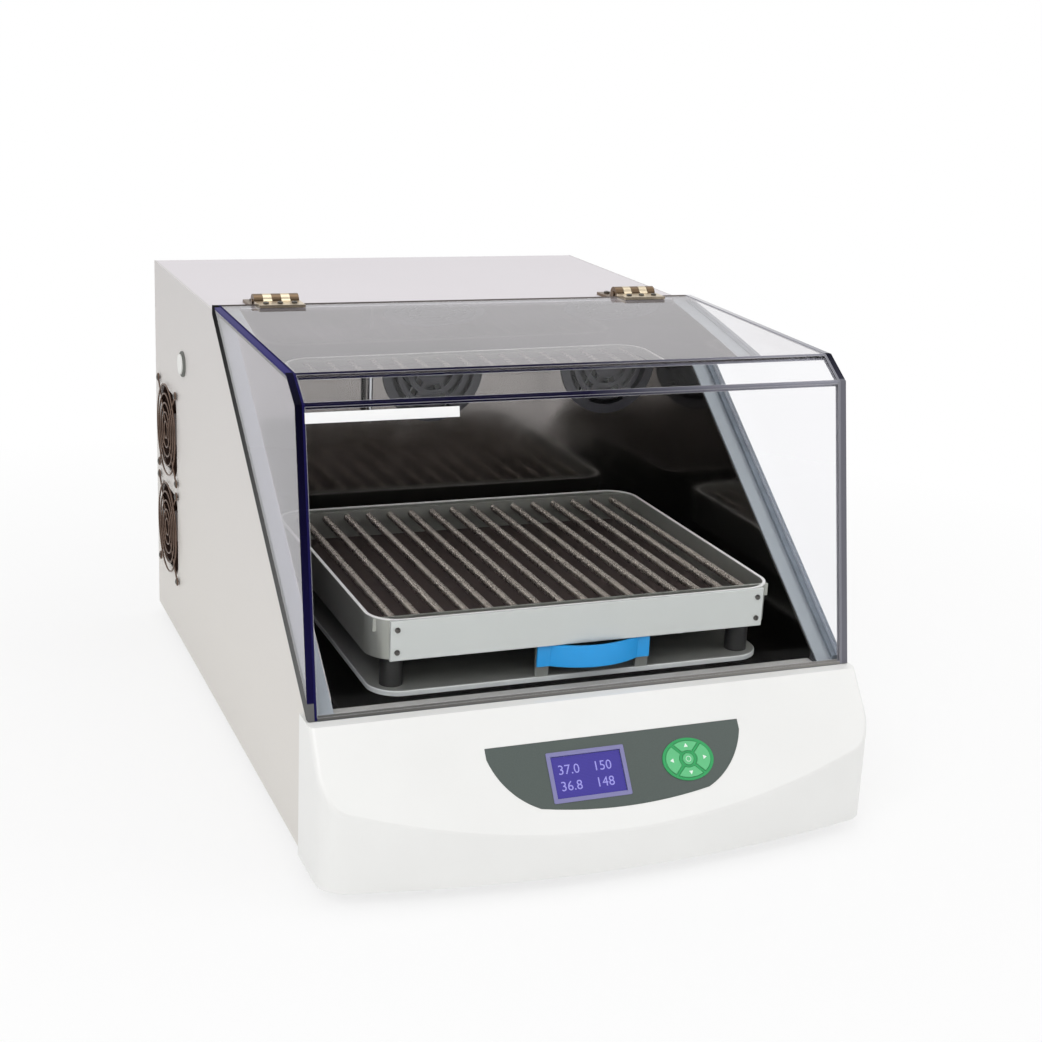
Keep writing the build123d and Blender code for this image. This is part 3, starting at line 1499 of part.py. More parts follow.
spring_z = rack_top - spring_height_below_top
with BuildPart() as rack_frame:
    with BuildSketch(Plane.XY.offset(rack_bottom)):
        with Locations((0, platform_middle_y)):
            RectangleRounded(platform_width, platform_depth, platform_corner_radius)
    extrude(amount=rack_height)
    with BuildSketch(Plane.XY.offset(rack_bottom + rack_wall)):
        with Locations((0, platform_middle_y)):
            RectangleRounded(
                platform_width - 2 * rack_wall,
                platform_depth - 2 * rack_wall,
                platform_corner_radius - rack_wall,
            )
    extrude(amount=rack_height, mode=Mode.SUBTRACT)
    with BuildSketch(Plane.XY.offset(rack_bottom)):
        with Locations((0, platform_middle_y)):
            RectangleRounded(
                platform_width - 2 * (rack_wall + rack_floor_width),
                platform_depth - 2 * (rack_wall + rack_floor_width),
                platform_corner_radius - rack_wall,
            )
    extrude(amount=rack_wall, mode=Mode.SUBTRACT)
    for y in (rack_inner_front + spring_bar_depth, rack_inner_rear - spring_bar_depth):
        with BuildSketch(Plane.XY.offset(spring_z - 6.0)):
            with Locations((0, y)):
                Rectangle(platform_width - 2 * rack_wall, spring_bar_thickness)
        extrude(amount=12.0)
rack_frame.part.label = "rack_frame"
export_step(rack_frame.part, "parts/rack_frame.step")

with BuildPart() as rack_tray:
    with BuildSketch(Plane.XY.offset(rack_bottom + rack_wall)):
        with Locations((0, platform_middle_y)):
            RectangleRounded(
                platform_width - 2 * rack_wall - 2 * joint_gap,
                platform_depth - 2 * rack_wall - 2 * joint_gap,
                platform_corner_radius - rack_wall - joint_gap,
            )
    extrude(amount=tray_thickness)
rack_tray.part.label = "rack_tray"
export_step(rack_tray.part, "parts/rack_tray.step")

spring_start_y = rack_inner_front + spring_bar_depth + spring_bar_thickness / 2
spring_end_y = rack_inner_rear - spring_bar_depth - spring_bar_thickness / 2
spring_straight = spring_wire
spring_wound = spring_end_y - spring_start_y - 2 * spring_straight
spring_turn = spring_wound / spring_curls


def spring_point(turn):
    """Centre line of a rack spring after so many turns; its radius swells from the axis at each end."""
    from_end = min(turn, spring_curls - turn)
    ramp = sin(min(1.0, 2 * from_end) * pi / 2) ** 2
    radius = spring_mean_radius * ramp
    angle = 2 * pi * turn
    return Vector(radius * cos(angle), spring_straight + turn * spring_turn, radius * sin(angle))


def spring_direction(turn):
    """Unit tangent of the centre line of a rack spring."""
    step = 1e-4
    low = max(0.0, turn - step)
    high = min(float(spring_curls), turn + step)
    return (spring_point(high) - spring_point(low)).normalized()


def biarc_joint(start, start_way, end, end_way):
    """Meeting point of the two arcs that join two points with given tangents."""
    chord = end - start
    ways = start_way + end_way
    spread = 2 * (1 - start_way.dot(end_way))
    along = chord.dot(ways)
    reach = (-along + sqrt(along * along + spread * chord.dot(chord))) / spread
    return (start + end + (start_way - end_way) * reach) * 0.5


def spring_least_gap():
    """Least gap of a rack spring to itself, measured on points of its centre line."""
    samples = [spring_point(index / 24) for index in range(24 * spring_curls + 1)]
    gap = spring_turn
    for first in range(len(samples)):
        for second in range(first + 12, len(samples)):
            gap = min(gap, (samples[second] - samples[first]).length - spring_wire)
    return gap


with BuildPart() as spring:
    with BuildLine():
        Line((0, 0, 0), spring_point(0))
        for half_turn in range(2 * spring_curls):
            start = spring_point(half_turn / 2)
            end = spring_point((half_turn + 1) / 2)
            start_way = spring_direction(half_turn / 2)
            end_way = spring_direction((half_turn + 1) / 2)
            joint = biarc_joint(start, start_way, end, end_way)
            first_arc = TangentArc(start, joint, tangent=start_way)
            TangentArc(joint, end, tangent=first_arc % 1)
        Line(spring_point(spring_curls), spring_point(spring_curls) + Vector(0, spring_straight, 0))
    with BuildSketch(Plane(origin=(0, 0, 0), z_dir=(0, 1, 0))):
        RegularPolygon(spring_wire / 2, spring_sides)
    sweep()
print(f"rack springs: least gap to itself {spring_least_gap():.2f} mm")

spring_places = [
    Location(((index - (spring_count - 1) / 2) * spring_pitch, spring_start_y, spring_z))
    for index in range(spring_count)
]
rack_springs = Compound(label="rack_springs", children=[spring.part.moved(place) for place in spring_places])
export_step(rack_springs, "parts/rack_springs.step")

bar_screw_places = [
    (side * bar_screw_x, rack_bottom + rack_height * level) for side in (-1, 1) for level in (0.22, 0.78)
]
with BuildPart() as front_bar:
    with BuildSketch(Plane.XZ.offset(-platform_front_y)):
        with Locations((0, rack_bottom + rack_height / 2)):
            Rectangle(front_bar_width, rack_height)
        with Locations(*bar_screw_places):
            Circle(2.2, mode=Mode.SUBTRACT)
    extrude(amount=front_bar_thickness)
    chamfer(front_bar.faces().sort_by(Axis.Y)[0].outer_wire().edges(), length=0.5)
front_bar.part.label = "front_bar"
export_step(front_bar.part, "parts/front_bar.step")

with BuildPart() as rack_screws:
    with BuildSketch(Plane.XZ.offset(-platform_front_y + front_bar_thickness)):
        with Locations(*bar_screw_places):
            Circle(bar_screw_radius)
    extrude(amount=1.8)
    fillet(rack_screws.edges().filter_by(GeomType.CIRCLE).group_by(Axis.Y)[0], radius=0.9)
    with BuildSketch(Plane.XZ.offset(-platform_front_y + front_bar_thickness)):
        with Locations(*bar_screw_places):
            Circle(2.1)
    extrude(amount=-front_bar_thickness)
rack_screws.part.label = "rack_screws"
export_step(rack_screws.part, "parts/rack_screws.step")

handle_back_y = platform_front_y + deck_inset
handle_half = handle_width / 2
with BuildPart() as pull_handle:
    with BuildSketch(Plane.XY.offset(handle_bottom)):
        with BuildLine():
            flat_end = handle_half - handle_pad
            Line((-handle_half, 0), (-flat_end, 0))
            ThreePointArc((-flat_end, 0), (0, -handle_bow), (flat_end, 0))
            Line((flat_end, 0), (handle_half, 0))
            Line((handle_half, 0), (handle_half, -handle_thickness))
            Line((handle_half, -handle_thickness), (flat_end, -handle_thickness))
            ThreePointArc(
                (flat_end, -handle_thickness),
                (0, -handle_bow - handle_thickness),
                (-flat_end, -handle_thickness),
            )
            Line((-flat_end, -handle_thickness), (-handle_half, -handle_thickness))
            Line((-handle_half, -handle_thickness), (-handle_half, 0))
        make_face()
    extrude(amount=handle_height)
    fillet(pull_handle.edges().filter_by(Axis.Z).group_by(Axis.X)[0], radius=1.0)
    fillet(pull_handle.edges().filter_by(Axis.Z).group_by(Axis.X)[-1], radius=1.0)
pull_handle_part = pull_handle.part.moved(Location((handle_x, handle_back_y, 0)))
pull_handle_part.label = "pull_handle"
export_step(pull_handle_part, "parts/pull_handle.step")

# ---------------------------------------------------------------------------
# Screws of the hinges and fan guards
# ---------------------------------------------------------------------------
with BuildPart() as housing_screws:
    with BuildSketch(Plane.XY.offset(leaf_top)):
        for side in (-1, 1):
            with Locations((side * hinge_x, hinge_pin_y + hinge_screw_from_pin)):
                with GridLocations(hinge_screw_pitch_x, hinge_screw_pitch_y, 2, 2):
                    Circle(hinge_screw_radius)
    extrude(amount=hinge_screw_head)
    for z in (fan_lower_z, fan_upper_z):
        with BuildSketch(fan_plane(z, -housing_half - guard_stand_off)):
            with GridLocations(fan_hole_pitch, fan_hole_pitch, 2, 2):
                Circle(guard_screw_radius)
        extrude(amount=-guard_screw_head)
housing_screws.part.label = "housing_screws"
export_step(housing_screws.part, "parts/housing_screws.step")
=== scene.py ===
import logging
from contextlib import contextmanager
from dataclasses import dataclass
from enum import Enum
from math import cos, hypot, pi, radians, sin
from typing import Dict, Iterator, List, Optional, Sequence, Tuple, Union

import bpy
from mathutils import Matrix, Vector


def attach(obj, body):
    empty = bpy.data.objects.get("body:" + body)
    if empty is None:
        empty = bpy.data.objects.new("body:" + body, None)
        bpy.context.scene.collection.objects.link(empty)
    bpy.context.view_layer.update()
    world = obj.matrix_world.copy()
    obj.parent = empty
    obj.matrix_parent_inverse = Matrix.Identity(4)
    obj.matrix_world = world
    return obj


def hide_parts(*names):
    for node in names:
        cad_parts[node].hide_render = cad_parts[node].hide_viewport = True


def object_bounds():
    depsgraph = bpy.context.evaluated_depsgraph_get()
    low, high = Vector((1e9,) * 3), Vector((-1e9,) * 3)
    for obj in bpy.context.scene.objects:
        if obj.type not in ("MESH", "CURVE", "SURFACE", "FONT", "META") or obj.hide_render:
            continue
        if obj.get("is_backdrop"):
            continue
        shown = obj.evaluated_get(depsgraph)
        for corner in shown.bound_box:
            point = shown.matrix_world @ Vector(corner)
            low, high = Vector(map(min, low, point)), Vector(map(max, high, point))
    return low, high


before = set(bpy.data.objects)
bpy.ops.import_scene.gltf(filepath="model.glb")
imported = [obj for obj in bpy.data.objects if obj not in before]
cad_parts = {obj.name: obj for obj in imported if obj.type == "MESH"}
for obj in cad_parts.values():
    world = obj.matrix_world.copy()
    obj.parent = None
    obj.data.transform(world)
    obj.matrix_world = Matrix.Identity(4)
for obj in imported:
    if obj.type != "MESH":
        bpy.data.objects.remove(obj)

CAD_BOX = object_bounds()
log = logging.getLogger("shaker")

Colour = Tuple[float, float, float, float]
Point = Tuple[float, float, float]
Pair = Tuple[float, float]
Codes = Tuple[str, str]
Piece = bpy.types.Object
Material = bpy.types.Material

WHITE: Colour = (1.0, 1.0, 1.0, 1.0)


def tint(code: str) -> Colour:
    """Linear colour of a six-digit sRGB code.

    Args:
        code: Hexadecimal red, green and blue.

    Returns:
        Linear red, green and blue with an alpha of one.
    """
    parts = [int(code[i:i + 2], 16) / 255 for i in (0, 2, 4)]
    linear = [p / 12.92 if p <= 0.04045 else ((p + 0.055) / 1.055) ** 2.4 for p in parts]
    return (linear[0], linear[1], linear[2], 1.0)


def turned(way: Sequence[float], axis: str = "Z") -> Matrix:
    """Turn that points an axis of a piece along a way, its Y kept up."""
    return Vector(way).to_track_quat(axis, "Y").to_matrix().to_4x4()


# ---- Shader graphs ----
class Wire:
    """One output socket of a shader graph, with arithmetic that adds Math nodes."""

    def __init__(self, graph: "Graph", socket: bpy.types.NodeSocket) -> None:
        """Keeps the socket and the graph it belongs to."""
        self.graph = graph
        self.socket = socket

    def math(self, operation: str, *others: "Operand", clamp: bool = False) -> "Wire":
        """Adds a Math node that starts from this wire, clamped from 0 to 1 if asked."""
        return self.graph.math(operation, self, *others, clamp=clamp)

    def __add__(self, other: "Operand") -> "Wire":
        """Sum."""
        return self.math("ADD", other)

    def __sub__(self, other: "Operand") -> "Wire":
        """Difference."""
        return self.math("SUBTRACT", other)

    def __rsub__(self, other: "Operand") -> "Wire":
        """Difference with a number on the left."""
        return self.graph.math("SUBTRACT", other, self)

    def __mul__(self, other: "Operand") -> "Wire":
        """Product."""
        return self.math("MULTIPLY", other)

    __radd__ = __add__
    __rmul__ = __mul__

    def at_least(self, least: "Operand" = 0.0) -> "Wire":
        """The larger of this and another value, kept between 0 and 1."""
        return self.math("MAXIMUM", least, clamp=True)

    def below(self, limit: float, soft: float) -> "Wire":
        """Mask that is 1 where this wire is under a limit, with a soft edge."""
        return ((limit + soft / 2 - self) * (1 / soft)).at_least()


Operand = Union[Wire, float]
Shade = Union[Wire, Colour]


class Graph:
    """A shader node tree, and the one place where its nodes are made."""

    def __init__(self, tree: bpy.types.NodeTree) -> None:
        """Starts with an empty tree."""
        self.tree = tree
        self.tree.nodes.clear()

    @classmethod
    def of_material(cls, name: str) -> Tuple[Material, "Graph"]:
        """A new material and its empty graph."""
        material = bpy.data.materials.new(name)
        material.use_nodes = True
        return material, cls(material.node_tree)

    def outputs(self, kind: str, settings: Optional[Dict] = None,
                sockets: Optional[Dict] = None) -> List[Wire]:
        """Adds any node.

        Args:
            kind: The node's type, after the word ShaderNode.
            settings: Its own settings, set first.
            sockets: Values or wires for its inputs, by name or number.

        Returns:
            All of its outputs.
        """
        made = self.tree.nodes.new("ShaderNode" + kind)
        for key, value in (settings or {}).items():
            setattr(made, key, value)
        for key, value in (sockets or {}).items():
            if isinstance(value, Wire):
                self.tree.links.new(value.socket, made.inputs[key])
            else:
                made.inputs[key].default_value = value
        return [Wire(self, socket) for socket in made.outputs]

    def node(self, kind: str, settings: Optional[Dict] = None, sockets: Optional[Dict] = None,
             output: int = 0) -> Wire:
        """Adds any node and returns one of its outputs, by number."""
        return self.outputs(kind, settings, sockets)[output]

    def math(self, operation: str, *operands: Operand, clamp: bool = False) -> Wire:
        """Adds a Math node on wires and numbers."""
        settings = {"operation": operation, "use_clamp": clamp}
        return self.node("Math", settings, dict(enumerate(operands)))

    def place(self) -> Wire:
        """Object coordinates."""
        return self.node("TexCoord", output=3)

    def axes(self) -> List[Wire]:
        """The three object coordinates, in metres."""
        return self.outputs("SeparateXYZ", sockets={0: self.place()})

    def stretched(self, scale: Point) -> Wire:
        """Object coordinates stretched along the axes."""
        sockets = {"Vector": self.place(), "Scale": scale}
        return self.node("Mapping", {"vector_type": "POINT"}, sockets)

    def noise(self, scale: float, detail: float = 2.0, place: Optional[Wire] = None) -> Wire:
        """Noise between 0 and 1, with so many features per metre and octaves of detail."""
        return self.node("TexNoise", sockets={
            "Vector": place or self.place(), "Scale": scale, "Detail": detail, "Roughness": 0.55})

    def cells(self, scale: float) -> Wire:
        """Distance to the nearest of scattered points, for speckle."""
        return self.node("TexVoronoi", sockets={"Vector": self.place(), "Scale": scale})

    def bricks(self, offset: float, squash: float, **sockets: float) -> Wire:
        """Lines between bricks, 1 on a line; underscores in the names stand for spaces."""
        return self.node("TexBrick", {"offset": offset, "squash": squash}, {
            "Vector": self.place(), **self.spaced(sockets)}, output=1)

    def varied(self, middle: float, *parts: Tuple[Wire, float]) -> Operand:
        """A value pushed about its middle by noises between 0 and 1, each with its share."""
        total: Operand = middle - sum(share for _, share in parts) / 2
        for noise, share in parts:
            total = noise * share + total
        return total

    def blend(self, factor: Operand, first: Shade, second: Shade) -> Wire:
        """Mix of two colours."""
        sockets = {0: factor, 6: first, 7: second}
        return self.node("Mix", {"data_type": "RGBA"}, sockets, output=2)

    def cover(self, factor: Wire, under: Wire, over: Wire) -> Wire:
        """One shader laid over another by a factor."""
        return self.node("MixShader", sockets={0: factor, 1: under, 2: over})

    def bump(self, height: Wire, depth: float) -> Wire:
        """Normal of a surface raised by a height of so many metres."""
        return self.node("Bump", sockets={"Height": height, "Distance": depth})

    def surface(self, **sockets: object) -> Wire:
        """Principled shader; underscores in the names stand for spaces."""
        return self.node("BsdfPrincipled", sockets=self.spaced(sockets))

    @staticmethod
    def spaced(sockets: Dict[str, object]) -> Dict[str, object]:
        """Sockets by their real names, with spaces in place of underscores."""
        return {name.replace("_", " "): value for name, value in sockets.items()}

    def finish(self, shader: Wire, kind: str = "OutputMaterial") -> None:
        """Links a shader to the tree's output."""
        self.outputs(kind, sockets={0: shader})


# ---- Finishes ----
class Grain(Enum):
    """Direction in which a metal was rolled, brushed or turned, as features per metre."""

    ALONG_X = (3.0, 900.0, 900.0)
    ALONG_Z = (900.0, 900.0, 3.0)
    POLISHED = (40.0, 40.0, 40.0)
    TURNED = (700.0, 700.0, 60.0)


@dataclass(frozen=True)
class Finish:
    """What every finish has: a name, a colour, and a material made from them."""

    name: str
    code: str

    def tone(self, factor: float = 1.0) -> Colour:
        """The finish's colour, made lighter or darker by a factor."""
        red, green, blue, _ = tint(self.code)
        return (red * factor, green * factor, blue * factor, 1.0)

    def shade(self, graph: Graph) -> Wire:
        """The finish's shader, which each kind of finish makes in its own way."""
        raise NotImplementedError

    def material(self) -> Material:
        """Builds the material."""
        made, graph = Graph.of_material(self.name)
        graph.finish(self.shade(graph))
        return made


@dataclass(frozen=True)
class PowderCoat(Finish):
    """Sprayed and baked paint with a fine orange-peel skin, a little darker towards the bottom."""

    roughness: float = 0.42
    peel: float = 650.0
    depth: float = 0.00006
    clouds: float = 5.0
    # how much darker the paint turns towards the bottom
    low_dark_and_veil: float = 0.35
    darkening_top: Pair = (0.05, 0.09)

    def shade(self, graph: Graph) -> Wire:
        """Cloudy paint, a little darker towards the bottom."""
        broad = graph.noise(self.clouds, 3.0)
        # darker towards the bottom, within about 9.5 cm of the floor
        low_dark_and_veil = graph.axes()[2].below(*self.darkening_top) * self.low_dark_and_veil
        clean = graph.blend(broad, self.tone(0.95), self.tone(1.04))
        return self.skin(graph, broad, Base_Color=graph.blend(low_dark_and_veil, clean, self.tone(0.86)))

    def skin(self, graph: Graph, broad: Wire, **sockets: object) -> Wire:
        """Shader with the orange peel, on the noise that also clouds the colour."""
        peel = graph.noise(self.peel, 1.0)
        rough = graph.varied(self.roughness, (peel, 0.14), (broad, 0.10))
        return graph.surface(
            Roughness=rough, Normal=graph.bump(peel, self.depth), IOR=1.5, **sockets)


@dataclass(frozen=True)
class SeatedPanel(PowderCoat):
    """Powder-coated side skin with painted light that makes it lighter and warmer low down; its
    seat flange is satin steel whose grey-blue is partly painted shade.
    """

    # seat flange: satin steel, its grey-blue darkened as painted shade under the hood
    seat_code: str = "969DA2"
    seat_half: float = 0.2686
    # painted light: the lighter, warmer colour the side skin turns to low down
    low_light_code: str = "E4E0D9"
    low_light_top: Pair = (0.30, 0.40)

    def shade(self, graph: Graph) -> Wire:
        """Paint with painted light low down on the outer sheet, and steel with painted shade
        inside it.
        """
        broad = graph.noise(self.clouds, 3.0)
        across, _, height = graph.axes()
        seat = across.math("ABSOLUTE").below(self.seat_half, 0.0004)
        clean = graph.blend(broad, self.tone(0.97), self.tone(1.03))
        # painted light: the skin made lighter and warmer towards the bottom
        low_lit = graph.blend(height.below(*self.low_light_top) * 0.8, clean, tint(self.low_light_code))
        # the seat flange is satin steel whose grey-blue tone is partly painted shade
        base = graph.blend(seat, low_lit, tint(self.seat_code))
        return self.skin(graph, broad, Base_Color=base, Metallic=seat * 0.35)


@dataclass(frozen=True)
class Moulded(Finish):
    """Moulded plastic with a spark-eroded grain."""

    roughness: float = 0.40
    grain: float = 1400.0
    depth: float = 0.00004
    coat: float = 0.0

    def shade(self, graph: Graph) -> Wire:
        """Plastic, faintly cloudy."""
        grain = graph.noise(self.grain, 2.0)
        broad = graph.noise(9.0, 2.0)
        return graph.surface(
            Base_Color=graph.blend(broad, self.tone(0.96), self.tone(1.03)),
            Roughness=graph.varied(self.roughness, (grain, 0.10), (broad, 0.08)),
            Normal=graph.bump(grain, self.depth),
            Coat_Weight=self.coat,
            Coat_Roughness=0.12,
            IOR=1.48,
        )


@dataclass(frozen=True)
class HighlightBand:
    """A painted highlight: a bright band between two heights, where an edge catches the light."""

    low: float
    high: float
    code: str
    highlight_share: float = 0.7
    soft: float = 0.0003

    def highlit(self, graph: Graph) -> Wire:
        """Mask that is 1 inside the painted highlight."""
        height = graph.axes()[2]
        return height.below(self.high, self.soft) * (1.0 - height.below(self.low, self.soft))


@dataclass(frozen=True)
class Metal(Finish):
    """Bare metal with the marks of rolling, brushing or turning."""

    roughness: float = 0.28
    grain: Grain = Grain.ALONG_X
    depth: float = 0.00002
    stain: float = 0.12
    metallic: float = 1.0
    highlight_band: Optional[HighlightBand] = None

    def shade(self, graph: Graph) -> Wire:
        """Stained metal, and its painted highlight band where it has one."""
        streak = graph.noise(1.0, 2.0, graph.stretched(self.grain.value))
        broad = graph.noise(14.0, 4.0)
        base = graph.blend(broad, self.tone(1 - self.stain), self.tone(1 + self.stain / 2))
        metallic: Operand = self.metallic
        if self.highlight_band:
            # painted highlight: lighter and less metallic inside the band
            highlit = self.highlight_band.highlit(graph)
            base = graph.blend(highlit, base, tint(self.highlight_band.code))
            metallic = (1.0 - highlit * self.highlight_band.highlight_share) * metallic
        return graph.surface(
            Base_Color=base,
            Metallic=metallic,
            Roughness=graph.varied(self.roughness, (streak, 0.14), (broad, 0.10)),
            Normal=graph.bump(streak, self.depth),
            Anisotropic=0.35,
        )


@dataclass(frozen=True)
class CastMetal(Finish):
    """Sand or die cast metal with a pebbled skin."""

    metallic: float = 1.0
    roughness: float = 0.5
    pebbles: float = 900.0
    depth: float = 0.00012

    def shade(self, graph: Graph) -> Wire:
        """Cloudy metal with pebbles."""
        pebble = graph.cells(self.pebbles)
        broad = graph.noise(22.0, 4.0)
        return graph.surface(
            Base_Color=graph.blend(broad, self.tone(0.82), self.tone(1.08)),
            Metallic=self.metallic,
            Roughness=graph.varied(self.roughness, (pebble, 0.12), (broad, 0.12)),
            Normal=graph.bump(pebble, self.depth),
        )


@dataclass(frozen=True)
class Rubber(Finish):
    """Matt rubber with a faint bloom."""

    roughness: float = 0.72
    depth: float = 0.00005

    def shade(self, graph: Graph) -> Wire:
        """Rubber, greyer where it blooms."""
        fine = graph.noise(2400.0, 2.0)
        bloom = graph.noise(40.0, 4.0)
        return graph.surface(
            Base_Color=graph.blend(bloom, self.tone(0.8), self.tone(1.5)),
            Roughness=graph.varied(self.roughness, (bloom, 0.16)),
            Normal=graph.bump(fine, self.depth),
            IOR=1.45,
        )


@dataclass(frozen=True)
class Foam(Finish):
    """Open foam or felt."""

    pores: float = 450.0
    depth: float = 0.0006

    def shade(self, graph: Graph) -> Wire:
        """Foam, with painted shade in its pores."""
        pores = graph.cells(self.pores)
        broad = graph.noise(16.0, 4.0)
        skin = graph.blend(broad, self.tone(0.9), self.tone())
        return graph.surface(
            # painted shade: the pores are darker than the skin
            Base_Color=graph.blend(pores, self.tone(0.62), skin),
            Roughness=0.92,
            Normal=graph.bump(pores, self.depth),
        )


@dataclass(frozen=True)
class Board(Finish):
    """Solder-masked circuit board with tracks."""

    tracks: float = 90.0
    depth: float = 0.00005

    def shade(self, graph: Graph) -> Wire:
        """Board, paler and raised on its tracks."""
        tracks = graph.bricks(0.3, 0.6, Scale=self.tracks, Mortar_Size=0.07, Mortar_Smooth=0.1)
        return graph.surface(
            Base_Color=graph.blend(tracks, self.tone(0.8), self.tone(2.2)),
            Roughness=graph.varied(0.38, (tracks, 0.12)),
            Normal=graph.bump(tracks, self.depth),
        )


@dataclass(frozen=True)
class Film(Finish):
    """Printed polyester film of the control panel, with a fine matt grain."""

    depth: float = 0.00002

    def shade(self, graph: Graph) -> Wire:
        """Film over fine dots of print."""
        grain = graph.noise(2600.0, 1.0)
        print_dots = graph.cells(1500.0)
        return graph.surface(
            Base_Color=graph.blend(print_dots, self.tone(1.10), self.tone(0.86)),
            Roughness=graph.varied(0.36, (grain, 0.12)),
            Normal=graph.bump(grain, self.depth),
            IOR=1.55,
        )


@dataclass(frozen=True)
class Glow(Finish):
    """Back-lit display: a lit colour behind a fine grid of cells."""

    lit: str
    strength: float
    pitch: float = 0.0008
    gap: float = 0.12
    shadow: float = 0.7

    def shade(self, graph: Graph) -> Wire:
        """Cloudy light, dimmer between the cells."""
        grid = graph.bricks(0.0, 1.0, Scale=1.0, Mortar_Size=self.pitch * self.gap,
                            Brick_Width=self.pitch, Row_Height=self.pitch)
        cloud = graph.noise(26.0, 2.0)
        lit = Finish("lit", self.lit)
        glow = graph.blend(cloud, lit.tone(0.82), lit.tone(1.12))
        return graph.surface(
            Base_Color=graph.blend(grid, self.tone(), self.tone(self.shadow)),
            Roughness=graph.varied(0.20, (cloud, 0.08)),
            Emission_Color=graph.blend(grid, glow, lit.tone(self.shadow)),
            Emission_Strength=self.strength,
            Coat_Weight=0.3,
        )


@dataclass(frozen=True)
class EdgeLine:
    """A line across the side view along which acrylic shows a dark edge, partly the sheet's own
    edge and partly painted shade.

    Its point and normal lie in the y-z plane. The colour fades from one code to the other
    between two places on an axis, painting the edge darker where it is in shade and lighter where
    it is lit.
    """

    normal: Pair
    point: Pair
    reach: float
    codes: Codes
    axis: int = 0
    fade: Pair = (-0.27, 0.27)

    def near(self, places: Sequence[Wire], soft: float) -> Wire:
        """Mask that is 1 within reach of the line."""
        offset = self.normal[0] * self.point[0] + self.normal[1] * self.point[1]
        away = places[1] * self.normal[0] + places[2] * self.normal[1] - offset
        return away.math("ABSOLUTE").below(self.reach, soft)

    def colour(self, graph: Graph, places: Sequence[Wire]) -> Wire:
        """Colour of the edge along its length."""
        start, end = self.fade
        share = ((places[self.axis] - start) * (1 / (end - start))).at_least()
        return graph.blend(share, tint(self.codes[0]), tint(self.codes[1]))


@dataclass(frozen=True)
class Acrylic(Finish):
    """Clear acrylic sheet, clearer where it faces the front, with dark cut and folded edges whose
    colours are partly painted shade.
    """

    lines: Tuple[EdgeLine, ...]
    half_width: float = 0.0
    rim: Codes = ("1B1848", "86868E")
    rim_reach: float = 0.0026
    soft: float = 0.0008
    edge_cover: float = 0.96
    front_top: float = 0.0
    front_code: str = "FEFEFF"
    front_index: float = 1.14
    index: float = 1.49
    # share of the painted reflection veil on the top
    reflection_veil: float = 0.0
    reflection_veil_code: str = "C8C2C8"

    def edges(self, graph: Graph) -> Tuple[Wire, Wire]:
        """Cover and colour of the dark edges.

        Args:
            graph: The graph of the acrylic's material.

        Returns:
            Where the edges are, from 0 to 1, and their colour.
        """
        cover: Operand = 0.0
        colour: Shade = self.tone()
        places = graph.axes()
        for line in self.lines:
            near = line.near(places, self.soft)
            colour = graph.blend(near, colour, line.colour(graph, places))
            cover = near.math("MAXIMUM", cover)
        if self.half_width:
            near = (self.half_width - places[0].math("ABSOLUTE")).below(self.rim_reach, self.soft)
            # painted shade: the rim is dark navy on the left and grey on the right
            side = (places[0] * 4.0 + 0.5).at_least()
            rim = graph.blend(side, tint(self.rim[0]), tint(self.rim[1]))
            colour = graph.blend(near, colour, rim)
            cover = near.math("MAXIMUM", cover)
        return cover, colour

    def shade(self, graph: Graph) -> Wire:
        """Clear sheet, a painted reflection as a grey veil on its top, and its edges."""
        cover, colour = self.edges(graph)
        smear = graph.noise(7.0, 5.0)
        top = graph.surface(
            Base_Color=self.tone(), Roughness=smear * 0.03, IOR=self.index,
            Transmission_Weight=1.0)
        front = graph.surface(
            Base_Color=tint(self.front_code), Roughness=smear * 0.02, IOR=self.front_index,
            Transmission_Weight=1.0)
        lower = graph.axes()[2].below(self.front_top, 0.001)
        clear = graph.node("BsdfTransparent", sockets={"Color": self.tone()})
        shadow = graph.node("LightPath", output=1)
        sheet = graph.cover(shadow, graph.cover(lower, top, front), clear)
        # painted reflection: a grey diffuse veil on the top stands in for what the top reflects
        if self.reflection_veil:
            low_dark_and_veil = graph.node("BsdfDiffuse", sockets={"Color": tint(self.reflection_veil_code)})
            veil = (1.0 - lower) * graph.varied(self.reflection_veil, (smear, 0.3))
            sheet = graph.cover(veil, sheet, low_dark_and_veil)
        edge = graph.surface(
            Base_Color=colour, Roughness=graph.varied(0.40, (smear, 0.1)), Specular_IOR_Level=0.0)
        return graph.cover(cover * self.edge_cover, sheet, edge)


